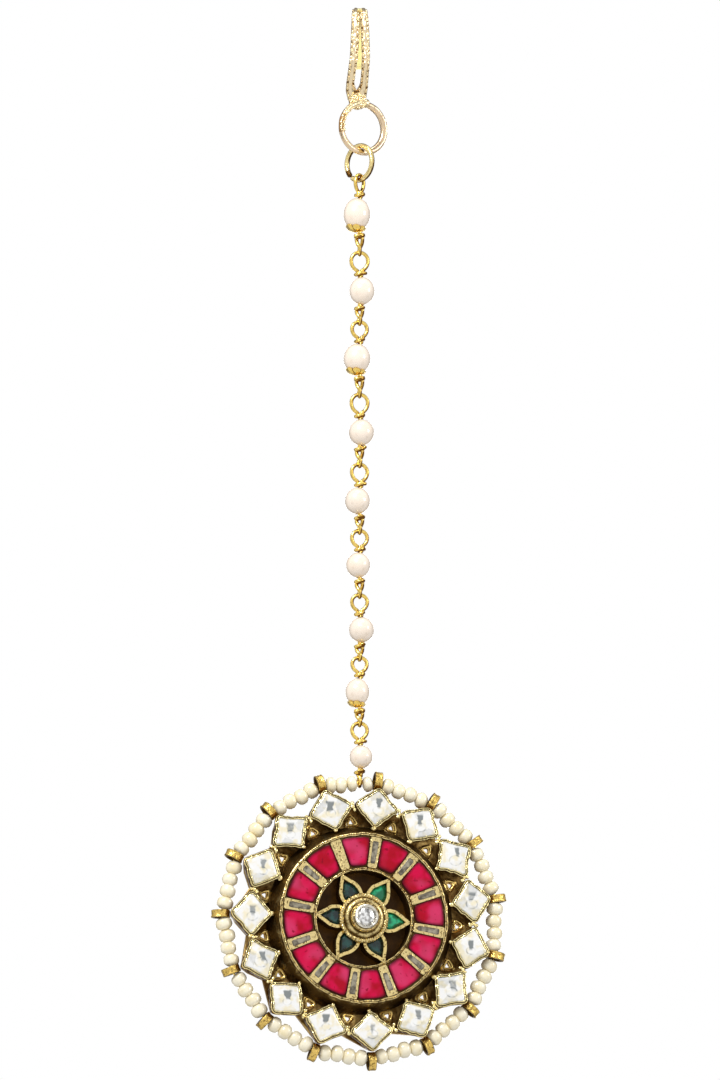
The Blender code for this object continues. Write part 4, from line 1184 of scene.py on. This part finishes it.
eyelets.piece("eyelet_bands", EYELET_GOLD, "pendant", "old_gold", [])


# Back plate. A flat sheet of beaten gold behind the collets, pierced by a small triangle
# between each two of them, with wires soldered round each hole. Its front is darker than its back,
# with lac and painted shade.
PLATE_BACK = 0.0021
PLATE_THICK = 0.0008
PIERCING_ACROSS = 0.0019
PLATE_BEVEL = 0.00012
PIERCING_WIRE = 0.00034

# The plate's edge over one stone, as shares of the collet's width and length.
PLATE_EDGE = ((-0.40, -0.02), (-0.15, 0.24), (0, 0.34), (0.15, 0.24))

# Three wires lie behind each other round a hole: depth, distance outwards and darkness.
PIERCING_WIRES = (
    {"depth": 0.00115, "grow": 0.00008, "stain_and_shade": 0.2},
    {"depth": 0.0006, "grow": 0.00038, "stain_and_shade": 0.45},
    {"depth": -0.0001, "grow": 0.00008, "stain_and_shade": 0.4},
)

wheel_base = stone_ring - collet_along / 2 + SOLDER
PLATE_GOLD = gold("plate_gold", (0.90, 0.62, 0.22), (0.14, 0.060, 0.009), 0.28, 0.4, 0.0006,
                  0.00010)
PIERCING_GOLD = gold("piercing_gold", (1.0, 0.72, 0.24), (0.16, 0.08, 0.014), 0.24, 0.4,
                     0.0003)


def piercing(grow=0.0):
    """The triangle between two collets and the wheel, with softened corners."""
    low = wheel_base + SOLDER * 1.4 - grow
    high = stone_ring - COLLET_WALL * 2.4 + grow * 1.6
    half = PIERCING_ACROSS * 0.42 + grow
    return softened([(-half, low), (half, low), (0, high)], 0.2)


sheet = bpy.data.curves.new("pierced_plate", "CURVE")
sheet.dimensions = "2D"
sheet.fill_mode = "BOTH"
sheet.extrude = PLATE_THICK / 2 - PLATE_BEVEL
sheet.bevel_depth = PLATE_BEVEL
sheet.bevel_resolution = 1
outlines = [[spot(angle, collet_across * across, stone_ring + collet_along * up, 0)
             for k, angle in bays() for across, up in PLATE_EDGE]]
for k, angle in bays(0.5):
    outlines.append([spot(angle, x, y, 0) for x, y in piercing(PLATE_BEVEL)])
for outline in outlines:
    spline = sheet.splines.new("POLY")
    spline.points.add(len(outline) - 1)
    for point, place in zip(spline.points, outline):
        point.co = (place.x, place.z, 0, 1)
    spline.use_cyclic_u = True
mesh = plain_mesh(bpy.data.objects.new("plate_draft", sheet))
mesh.transform(Matrix.Translation((0, PLATE_BACK - PLATE_THICK / 2, 0))
               @ Matrix.Rotation(math.radians(90), 4, "X"))
close_up(mesh, 1e-6)
# Painted shade and stain: the front of the plate, behind the collets, is darker than its back.
darken(mesh, [0.62 if point.co.y < PLATE_BACK - PLATE_THICK * 0.6 else 0.1
              for point in mesh.vertices])
hang("pierced_plate", mesh, PLATE_GOLD, "pendant", ["pendant_frame"], crease=10)

wires = Skin()
for k, angle in bays(0.5):
    for wire in PIERCING_WIRES:
        points, _ = spaced(piercing(wire["grow"]), 0.00025)
        path = [spot(angle, point.x, point.y, wire["depth"]) for point in points]
        wires.tube(path, PIERCING_WIRE / 2, 8, closed=True, stain_and_shade=wire["stain_and_shade"])
wires.piece("piercing_wires", PIERCING_GOLD, "pendant", "old_gold", [])


# Wheel. A low drum soldered in the ring of collets, open in the middle. Its face is cut
# into twelve wedges by narrow bars, and rimmed with gold strip inside and outside.
RUBIES = 12
RUBY_TURN = math.radians(24)
WELL_RADIUS = 0.0067
WHEEL_SLOPE = 0.0011
WHEEL_FRONT = -0.0026
WHEEL_RIM = 0.0006
OUTER_STRIP = 0.00048
INNER_STRIP = 0.00042
BAR_WIDTH = 0.0011
BAR_PROUD = 0.0002
BAR_FOIL = 1.34
BAR_SIDE = 0.00034
BAR_CLEAR = 0.0001
WELL_FLOOR = 0.0006
FACE_LEVEL = -0.00240
PLAIN_BAR = 10

wheel_radius = wheel_base - WHEEL_SLOPE
WHEEL_GOLD = gold("wheel_gold", (0.88, 0.70, 0.32), (0.12, 0.065, 0.016), 0.2, 0.9, 0.00028,
                  0.00008)

# Round the drum's section: radius, depth and darkness, painted shade and stain that deepen in the
# well and down the flank.
DRUM_SECTION = (
    {"radius": WELL_RADIUS, "depth": WELL_FLOOR + 0.0004, "stain_and_shade": 1.0},
    {"radius": WELL_RADIUS, "depth": -0.0010, "stain_and_shade": 1.0},
    {"radius": WELL_RADIUS, "depth": FACE_LEVEL, "stain_and_shade": 0.75},
    {"radius": WELL_RADIUS + 0.0006, "depth": FACE_LEVEL, "stain_and_shade": 0.9},
    {"radius": wheel_radius - 0.0006, "depth": FACE_LEVEL, "stain_and_shade": 0.9},
    {"radius": wheel_radius, "depth": FACE_LEVEL, "stain_and_shade": 0.7},
    {"radius": wheel_radius + WHEEL_SLOPE * 0.5, "depth": WHEEL_FRONT + WHEEL_SLOPE,
     "stain_and_shade": 0.85},
    {"radius": wheel_base, "depth": WHEEL_FRONT + 2 * WHEEL_SLOPE, "stain_and_shade": 0.75},
    {"radius": wheel_base, "depth": PLATE_BACK - PLATE_THICK / 4, "stain_and_shade": 0.9},
    {"radius": WELL_RADIUS, "depth": PLATE_BACK - PLATE_THICK / 4, "stain_and_shade": 1.0},
)


def turned_piece(skin, section, sides, dents=0.0):
    """A shape turned about the jewel's middle from its section."""
    rows = []
    for i in range(sides):
        angle = math.tau * i / sides
        row = []
        for rung in section:
            place = spot(angle, 0, rung["radius"], rung["depth"])
            dent = dents * uneven(place, 0.0009) if dents else 0.0
            row.append(spot(angle, 0, rung["radius"] + dent, rung["depth"] + dent * 0.7))
        rows.append(row)
    skin.loft(rows, [rung["stain_and_shade"] for rung in section], closed=True)


def rim_section(radius, half):
    """The section of a round strip on the wheel's face."""
    level = WHEEL_FRONT
    return (
        {"radius": radius - half, "depth": level + 0.0004, "stain_and_shade": 1.0},
        {"radius": radius - half, "depth": level + 0.00002, "stain_and_shade": 0.6},
        {"radius": radius - half * 0.75, "depth": level - 0.00008, "stain_and_shade": 0.25},
        {"radius": radius - half * 0.3, "depth": level - 0.00008, "stain_and_shade": 0.1},
        {"radius": radius, "depth": level + 0.00004, "stain_and_shade": 0.8},
        {"radius": radius + half * 0.25, "depth": level - 0.00010, "stain_and_shade": 0.15},
        {"radius": radius + half * 0.6, "depth": level - 0.00006, "stain_and_shade": 0.4},
        {"radius": radius + half, "depth": level + 0.00004, "stain_and_shade": 1.0},
        {"radius": radius + half, "depth": level + 0.0004, "stain_and_shade": 0.9},
    )


drum = Skin()
turned_piece(drum, DRUM_SECTION, 180, 0.00004)
turned_piece(drum, rim_section(wheel_radius - 0.00016, OUTER_STRIP / 2), 420, 0.00012)
turned_piece(drum, rim_section(WELL_RADIUS + 0.00022, INNER_STRIP / 2), 300, 0.00010)
drum.piece("wheel_drum", WHEEL_GOLD, "pendant", "old_gold", ["pendant_frame"])

# From back to front of a bar, and of the slip of stone in it: share of the outline, how
# far behind the front, and darkness.
BAR_LEVELS = (
    {"share": 1.0, "back": 0.0005, "stain_and_shade": 1.0}, {"share": 1.0, "back": 0.00008, "stain_and_shade": 0.9},
    {"share": 0.97, "back": 0.0, "stain_and_shade": 0.5}, {"share": 0.85, "back": 0.0, "stain_and_shade": 0.1},
    {"share": 0.6, "back": 0.0, "stain_and_shade": 0.0}, {"share": 0.02, "back": 0.0, "stain_and_shade": 0.1},
)
SLIP_LEVELS = (
    {"share": 1.0, "back": 0.00034, "stain_and_shade": 1.0}, {"share": 1.0, "back": 0.00003, "stain_and_shade": 1.0},
    {"share": 0.9, "back": 0.0, "stain_and_shade": 0.3}, {"share": 0.5, "back": 0.0, "stain_and_shade": 0.0},
    {"share": 0.02, "back": 0.0, "stain_and_shade": 0.0},
)
SLIP_PROUD = 0.00004


def gem(skin, outline, levels, front, angle, tilt=0.0, wave=0.0, seed=0.0, step=0.00018):
    """Add a stone or a bar to a skin, level by level, closed at its middle."""
    points, _ = spaced(outline, step)
    middle = sum(points, Vector((0, 0))) / len(points)
    rows, darks = [], []
    for level in levels:
        row = []
        face = level["share"] < 0.9 and level["back"] < 0.0006
        for point in points:
            place = middle.lerp(point, level["share"])
            lean = (place.x * math.sin(seed) + (place.y - middle.y) * math.cos(seed)) * tilt
            ripple = uneven(Vector((place.x, place.y, 0)), 0.0011, seed) * wave
            row.append(spot(angle, place.x, place.y,
                            front + level["back"] + (lean + ripple) * face))
        rows.append(row)
        darks.append([level["stain_and_shade"]] * len(points))
    skin.loft(rows, darks)


SLIP_STONE = Finish("smoky_slip", {"Metallic": 0.35, "Coat Weight": 0.6, "Coat Roughness": 0.1})
# The slips are smoky in streaks, and painted shade darkens them towards their edges.
streak = SLIP_STONE.noise(0.0006, 3)
smoke_and_shade = SLIP_STONE.step(streak + SLIP_STONE.stain_and_shade() * 0.5, 0.35, 0.75)
SLIP_STONE.set("Base Color", SLIP_STONE.mix(smoke_and_shade, (0.36, 0.32, 0.23), (0.07, 0.055, 0.035)))
SLIP_STONE.set("Roughness", streak * 0.3 + 0.15)

bars = Skin()
slips = Skin()
half = BAR_WIDTH / 2 * BAR_FOIL
narrow = half - BAR_SIDE
inner = WELL_RADIUS + WHEEL_RIM / 2 + BAR_CLEAR
outer = wheel_radius - WHEEL_RIM / 2 - BAR_CLEAR
front = WHEEL_FRONT - BAR_PROUD + 0.00005
bar = softened([(-half * 0.88, inner), (-half * 1.1, outer), (half * 1.1, outer),
                (half * 0.88, inner)], 0.06, 1)
for k in range(RUBIES):
    angle = RUBY_TURN + math.tau * (k + 0.5) / RUBIES
    gem(bars, bar, BAR_LEVELS, front, angle, wave=0.00006, seed=k * 3.3, step=0.00012)
    if k == PLAIN_BAR:
        continue
    low = inner + (outer - inner) * (0.20 + 0.07 * math.sin(k * 2.2))
    high = inner + (outer - inner) * (0.84 + 0.05 * math.sin(k * 3.1))
    slip = [(-narrow * 0.85, low), (-narrow * 1.12, high), (narrow * 1.12, high),
            (narrow * 0.85, low)]
    gem(slips, softened(slip, 0.1, 1), SLIP_LEVELS, front - SLIP_PROUD, angle, seed=k * 1.3,
        step=0.0002)
bars.piece("wheel_bars", WHEEL_GOLD, "pendant", "old_gold", [])
slips.piece("bar_slips", SLIP_STONE.material, "pendant", "polki", [])


# Red stones. Flat wedges of foiled ruby, slightly bevelled. Each is set in the wheel's
# face between two bars, with a dark gap round it.
RUBY_CORNERS = ({"out": 0.0, "wide": 0.62}, {"out": 0.05, "wide": 0.97},
                {"out": 0.93, "wide": 0.96}, {"out": 1.0, "wide": 0.55})
RUBY_LEVELS = (
    {"share": 0.02, "back": 0.0015, "stain_and_shade": 0.9}, {"share": 0.95, "back": 0.0015, "stain_and_shade": 0.9},
    {"share": 1.0, "back": 0.00035, "stain_and_shade": 1.0}, {"share": 0.99, "back": 0.00012, "stain_and_shade": 1.0},
    {"share": 0.93, "back": 0.00002, "stain_and_shade": 0.75}, {"share": 0.6, "back": 0.0, "stain_and_shade": 0.0},
    {"share": 0.3, "back": 0.0, "stain_and_shade": 0.0}, {"share": 0.02, "back": 0.0, "stain_and_shade": 0.0},
)
RUBY_FRONT = -0.00280
RUBY_OVER = 0.00004


def ruby_outline(inset):
    """A wedge between two bars, drawn in all round by an inset."""
    inner = WELL_RADIUS + WHEEL_RIM + inset
    outer = wheel_radius - WHEEL_RIM - inset
    half_step = math.pi / RUBIES
    side = BAR_WIDTH / 2 + WHEEL_RIM / 3 + inset
    half = []
    for corner in RUBY_CORNERS:
        radius = inner + (outer - inner) * corner["out"]
        room = (radius * math.sin(half_step) - side) / math.cos(half_step)
        half.append((room * corner["wide"], radius))
    return softened(half + [(-x, y) for x, y in reversed(half)], 0.18)


def ruby_finish():
    """Red glass-clear stone over foil, clouded, and darkened at its edge by painted shade."""
    finish = Finish("ruby_foiled", {"Coat Weight": 0.08, "Coat Roughness": 0.06,
                                    "Specular IOR Level": 0.1})
    cloud = finish.noise(0.0024, 2)
    haze = finish.noise(0.0034, 1)
    flaw = finish.noise(0.0007, 4)
    red = finish.mix(finish.step(cloud, 0.42, 0.62), (0.54, 0.002, 0.050), (0.36, 0.001, 0.014))
    hazy = finish.mix(finish.step(haze, 0.48, 0.70, 0.0, 0.6), red, (0.58, 0.05, 0.15))
    flawed = finish.mix(finish.step(flaw, 0.60, 0.70, 0.0, 0.8), hazy, (0.20, 0.0, 0.012))
    edge = finish.step(finish.stain_and_shade() + cloud * 0.5 - 0.25, 0.2, 1.0)
    finish.set("Base Color", finish.mix(edge, flawed, (0.05, 0.0, 0.004)))
    finish.set("Roughness", haze * 0.25 + 0.08)
    return finish.material


RUBY = ruby_finish()
for k in range(RUBIES):
    stone = Skin()
    gem(stone, ruby_outline(-RUBY_OVER), RUBY_LEVELS, RUBY_FRONT,
        RUBY_TURN + math.tau * k / RUBIES, 0.025, 0.00004, k * 2.9)
    stone.piece(f"ruby_stone_{k + 1}", RUBY, "pendant", "ruby", [f"ruby_{k + 1}"], crease=20)


# Well. The floor of the drum is a plain gold disc, painted dark brown for old lac and for
# shade deep in the well. Six leaf cells of gold strip stand on it round the boss.
PETALS = 6
PETAL_TURN = math.radians(33.5)
PETAL_WIDTH = 0.0032
PETAL_WALL = 0.00038
PETAL_FRONT = -0.0021
BOSS_ACROSS = 0.0064
PETAL_CORNERS = ({"out": 0.0, "wide": 0.78}, {"out": 0.22, "wide": 1.0},
                 {"out": 0.48, "wide": 0.90}, {"out": 0.72, "wide": 0.50},
                 {"out": 1.0, "wide": 0.04})
PETAL_SECTION = (
    {"out": 0.00000, "back": 0.00290, "stain_and_shade": 1.0},
    {"out": 0.00002, "back": 0.00080, "stain_and_shade": 0.8},
    {"out": 0.00014, "back": 0.00010, "stain_and_shade": 0.6},
    {"out": 0.00008, "back": -0.00006, "stain_and_shade": 0.0},
    {"out": -0.00036, "back": -0.00006, "stain_and_shade": 0.0},
    {"out": -0.00046, "back": 0.00010, "stain_and_shade": 0.7},
    {"out": -0.00046, "back": 0.00290, "stain_and_shade": 1.0},
)

petal_foot = BOSS_ACROSS * 0.42
LAC_AND_SHADE = Finish("brown_lac_and_shade", {"Coat Weight": 0.05, "Coat Roughness": 0.2,
                           "Specular IOR Level": 0.1})
soot = LAC_AND_SHADE.noise(0.0022, 3)
LAC_AND_SHADE.set("Base Color", LAC_AND_SHADE.mix(LAC_AND_SHADE.step(soot, 0.35, 0.7), (0.15, 0.062, 0.004),
                              (0.065, 0.026, 0.002)))
LAC_AND_SHADE.set("Roughness", soot * 0.3 + 0.25)

floor = Skin()
turned_piece(floor, (
    {"radius": 0.0, "depth": WELL_FLOOR, "stain_and_shade": 1.0},
    {"radius": WELL_RADIUS + 0.0002, "depth": WELL_FLOOR, "stain_and_shade": 1.0},
    {"radius": WELL_RADIUS + 0.0002, "depth": PLATE_BACK - PLATE_THICK / 2, "stain_and_shade": 1.0},
    {"radius": 0.0, "depth": PLATE_BACK - PLATE_THICK / 2, "stain_and_shade": 1.0},
), 90)
floor.piece("well_floor", LAC_AND_SHADE.material, "pendant", "old_gold", [])


def petal_outline(inset):
    """A leaf that points outwards from its foot at the boss, drawn in by an inset."""
    wide = PETAL_WIDTH / 2 - inset
    foot = petal_foot + inset
    tip = WELL_RADIUS - inset * 2.2
    half = [(wide * corner["wide"], foot + (tip - foot) * corner["out"])
            for corner in PETAL_CORNERS]
    return softened(half + [(-x, y) for x, y in reversed(half)], 0.2)


petals = Skin()
for k in range(PETALS):
    angle = PETAL_TURN + math.tau * k / PETALS
    ribbon(petals, petal_outline(0), PETAL_SECTION, PETAL_FRONT, angle, 0.00006, 0.0007,
           k * 4.4)
PETAL_GOLD = gold("petal_gold", (0.90, 0.70, 0.29), (0.15, 0.08, 0.015), 0.2, 0.9, 0.0003)
petals.piece("petal_cells", PETAL_GOLD, "pendant", "old_gold", [])


# Green petals. Leaf-cut emeralds: the two at the upper right are bright and clear, the
# other four almost black green.
def emerald_finish(name, colour, painted_reflection):
    """Green stone with painted reflections: patches of a brighter green here and there."""
    finish = Finish(name, {"Coat Weight": 0.4, "Coat Roughness": 0.03,
                           "Specular IOR Level": 0.4})
    cloud = finish.noise(0.0009, 2)
    finish.set("Base Color", finish.mix(finish.step(cloud, 0.4, 0.66), colour, painted_reflection))
    finish.set("Roughness", cloud * 0.2 + 0.05)
    return finish.material


EMERALD_LEVELS = (
    {"share": 0.02, "back": 0.0012, "stain_and_shade": 0.0}, {"share": 0.9, "back": 0.0012, "stain_and_shade": 0.0},
    {"share": 1.0, "back": 0.00035, "stain_and_shade": 0.0}, {"share": 0.62, "back": 0.00004, "stain_and_shade": 0.0},
    {"share": 0.58, "back": 0.0, "stain_and_shade": 0.0}, {"share": 0.02, "back": 0.0, "stain_and_shade": 0.0},
)
EMERALD_SUNK = 0.00008
BRIGHT_EMERALDS = 2
GREEN = emerald_finish("emerald_bright", (0.0, 0.11, 0.045), (0.01, 0.38, 0.17))
TEAL = emerald_finish("emerald_dark", (0.002, 0.012, 0.013), (0.006, 0.060, 0.052))
for k in range(PETALS):
    stone = Skin()
    gem(stone, petal_outline(PETAL_WALL * 0.9), EMERALD_LEVELS, PETAL_FRONT + EMERALD_SUNK,
        PETAL_TURN + math.tau * k / PETALS, 0.10, 0.0, k * 1.7, step=0.0006)
    bright = k < BRIGHT_EMERALDS
    stone.piece(f"petal_stone_{k + 1}", GREEN if bright else TEAL, "pendant",
                "green_stone" if bright else "dark_green_stone", [f"emerald_{k + 1}"],
                crease=8)


# Centre boss. A stepped gold mount over the petals' feet, ringed by a rope of twisted
# wire. A silvery bezel at its top holds the round rose-cut stone.
BOSS_FRONT = -0.0029
COLLAR_ACROSS = 0.0042
COLLAR_FRONT = -0.0044
CENTRE_ACROSS = 0.0029
ROPE_RADIUS = 0.00316
ROPE_STRAND = 0.00021
ROPE_TWISTS = 28
ROPE_STEPS = 14
ROSE_SIDES = 12
ROSE_CLEAR = 0.00004

BOSS_GOLD = gold("boss_gold", (0.76, 0.60, 0.27), (0.10, 0.055, 0.012), 0.22, 0.9, 0.0003)
SILVER = gold("bezel_silver", (0.80, 0.76, 0.66), (0.16, 0.13, 0.09), 0.2, 0.5, 0.0003)

boss = Skin()
turned_piece(boss, (
    {"radius": 0.0, "depth": WELL_FLOOR, "stain_and_shade": 1.0},
    {"radius": petal_foot - 0.0001, "depth": WELL_FLOOR, "stain_and_shade": 1.0},
    {"radius": petal_foot - 0.0001, "depth": PETAL_FRONT + 0.0001, "stain_and_shade": 1.0},
    {"radius": ROPE_RADIUS, "depth": BOSS_FRONT + 0.0006, "stain_and_shade": 0.8},
    {"radius": ROPE_RADIUS - 0.0003, "depth": BOSS_FRONT + 0.0001, "stain_and_shade": 0.8},
    {"radius": ROPE_RADIUS - 0.0004, "depth": BOSS_FRONT - 0.00005, "stain_and_shade": 0.7},
    {"radius": ROPE_RADIUS - 0.0007, "depth": BOSS_FRONT - 0.00028, "stain_and_shade": 0.3},
    {"radius": COLLAR_ACROSS / 2 + 0.00005, "depth": BOSS_FRONT - 0.0003, "stain_and_shade": 0.9},
    {"radius": COLLAR_ACROSS / 2, "depth": BOSS_FRONT - 0.0004, "stain_and_shade": 0.9},
    {"radius": COLLAR_ACROSS / 2, "depth": BOSS_FRONT - 0.0008, "stain_and_shade": 0.3},
    {"radius": COLLAR_ACROSS / 2 - 0.0001, "depth": COLLAR_FRONT + 0.0003, "stain_and_shade": 0.1},
    {"radius": COLLAR_ACROSS / 2 - 0.0003, "depth": COLLAR_FRONT + 0.00015, "stain_and_shade": 0.5},
    {"radius": CENTRE_ACROSS / 2, "depth": COLLAR_FRONT + 0.0003, "stain_and_shade": 0.8},
    {"radius": 0.0, "depth": COLLAR_FRONT + 0.0003, "stain_and_shade": 1.0},
), 120, 0.00003)
boss.piece("boss_mount", BOSS_GOLD, "pendant", "old_gold", [])

rope = Skin()
for strand in range(2):
    path = []
    for i in range(ROPE_TWISTS * ROPE_STEPS):
        angle = math.tau * i / (ROPE_TWISTS * ROPE_STEPS)
        twist = angle * ROPE_TWISTS + math.pi * strand
        path.append(spot(angle, 0, ROPE_RADIUS + ROPE_STRAND * 0.8 * math.cos(twist),
                         BOSS_FRONT + 0.0003 + ROPE_STRAND * 0.8 * math.sin(twist)))
    rope.tube(path, ROPE_STRAND, 8, closed=True, stain_and_shade=0.3)
rope.piece("boss_rope", BOSS_GOLD, "pendant", "old_gold", [])

bezel = Skin()
turned_piece(bezel, (
    {"radius": CENTRE_ACROSS / 2 - 0.0001, "depth": COLLAR_FRONT + 0.0004, "stain_and_shade": 0.9},
    {"radius": CENTRE_ACROSS / 2 - 0.0001, "depth": COLLAR_FRONT - 0.00008, "stain_and_shade": 0.3},
    {"radius": CENTRE_ACROSS / 2 + 0.00006, "depth": COLLAR_FRONT - 0.00014, "stain_and_shade": 0.0},
    {"radius": CENTRE_ACROSS / 2 + 0.00022, "depth": COLLAR_FRONT - 0.00004, "stain_and_shade": 0.0},
    {"radius": CENTRE_ACROSS / 2 + 0.00026, "depth": COLLAR_FRONT + 0.0004, "stain_and_shade": 0.6},
), 120, 0.00004)
bezel.piece("stone_bezel", SILVER, "pendant", "old_gold", [])

DIAMOND = Finish("rose_cut", {"Metallic": 0.8, "Coat Weight": 1.0, "Coat Roughness": 0.02,
                              "IOR": 2.0, "Roughness": 0.06})
# Painted reflection: grey patches break the rose cut's white.
painted_reflection = DIAMOND.step(DIAMOND.noise(0.0005, 1), 0.4, 0.65)
DIAMOND.set("Base Color", DIAMOND.mix(painted_reflection, (0.95, 0.95, 0.94), (0.40, 0.39, 0.38)))

# Up the rose cut: share of its radius, how far behind the collar's front, and by what
# part of a facet the level is turned.
ROSE_LEVELS = (
    {"share": 1.0, "back": 0.0008, "turn": 0.0}, {"share": 1.0, "back": 0.00015, "turn": 0.0},
    {"share": 0.72, "back": -0.00012, "turn": 0.5}, {"share": 0.36, "back": -0.00030, "turn": 0.0},
    {"share": 0.01, "back": -0.00036, "turn": 0.0},
)
rose = Skin()
rows = []
for level in ROSE_LEVELS:
    radius = (CENTRE_ACROSS / 2 - ROSE_CLEAR) * level["share"]
    rows.append([spot(math.tau * (i + level["turn"]) / ROSE_SIDES, 0, radius,
                      COLLAR_FRONT + level["back"]) for i in range(ROSE_SIDES)])
rose.loft(rows)
rose.piece("rose_cut_stone", DIAMOND.material, "pendant", "polki", ["centre_stone"], crease=3)


# Edge pearls. Sixty small flattish cream pearls, four to a bay, on a thin wire that runs
# through the eyelets. In the top bay the chain's last loop holds the wire between the
# third and the fourth.
EDGE_WIRE = 0.0004
EDGE_PEARL_ACROSS = 0.0021
EDGE_PEARLS_IN_BAY = 4
PEARLS_LEFT_OF_CHAIN = 3
HANGING_GAP = 0.00075
PIECE_GAP = 0.0001
EDGE_PEARL_SAG = 0.00014
EDGE_PEARL_LONG = 1.10
EDGE_PEARL_LONG_AT_LOOP = 0.96
THREAD_STEPS = 8

edge_ring = eyelet_ring - (EYELET_BORE - EDGE_WIRE) / 8
bay_chord = 2 * edge_ring * math.sin(bay / 2)
bay_free = bay_chord - EYELET_WIDTH - 2 * PIECE_GAP
chord_height = edge_ring * math.cos(bay / 2)
SEED_NACRE = nacre("cream_nacre", (0.89, 0.82, 0.63), (0.85, 0.73, 0.45), 0.24)

places = []
for k, angle in bays(0.5):
    top = k == STONES - 1
    free = bay_free - (HANGING_GAP if top else 0)
    long = free / EDGE_PEARLS_IN_BAY
    for i in range(EDGE_PEARLS_IN_BAY):
        along = -bay_free / 2 + long * (i + 0.5)
        if top and i >= PEARLS_LEFT_OF_CHAIN:
            along += HANGING_GAP
        number = k * EDGE_PEARLS_IN_BAY + i
        wide = EDGE_PEARL_ACROSS * (1.10 + 0.04 * math.sin(number * 5.3))
        height = chord_height - EDGE_PEARL_SAG + 0.00009 * math.sin(number * 3.7)
        centre = spot(angle, along, height, 0.00008 * math.sin(number * 2.9))
        lean = math.radians(7) * math.sin(number * 4.7)
        axis = spot(angle, math.cos(lean), math.sin(lean), 0) - spot(angle, 0, 0, 0)
        at_loop = top and i in (PEARLS_LEFT_OF_CHAIN - 1, PEARLS_LEFT_OF_CHAIN)
        share = EDGE_PEARL_LONG_AT_LOOP if at_loop else EDGE_PEARL_LONG
        places.append((centre, axis, wide, long * share))
beads("seed_pearls", places, SEED_NACRE, "pendant", ["edge_pearls"],
      segments=28, rings=18, unevenness=0.02, fullness=0.72)

thread = Skin()
path = [spot(angle, bay_chord * (i / THREAD_STEPS - 0.5), chord_height, 0)
        for k, angle in bays(0.5) for i in range(THREAD_STEPS)]
thread.tube(path, EDGE_WIRE / 2 * 0.7, 8, closed=True)
thread.piece("edge_thread", WIRE_GOLD, "pendant", "bright_gold", [])
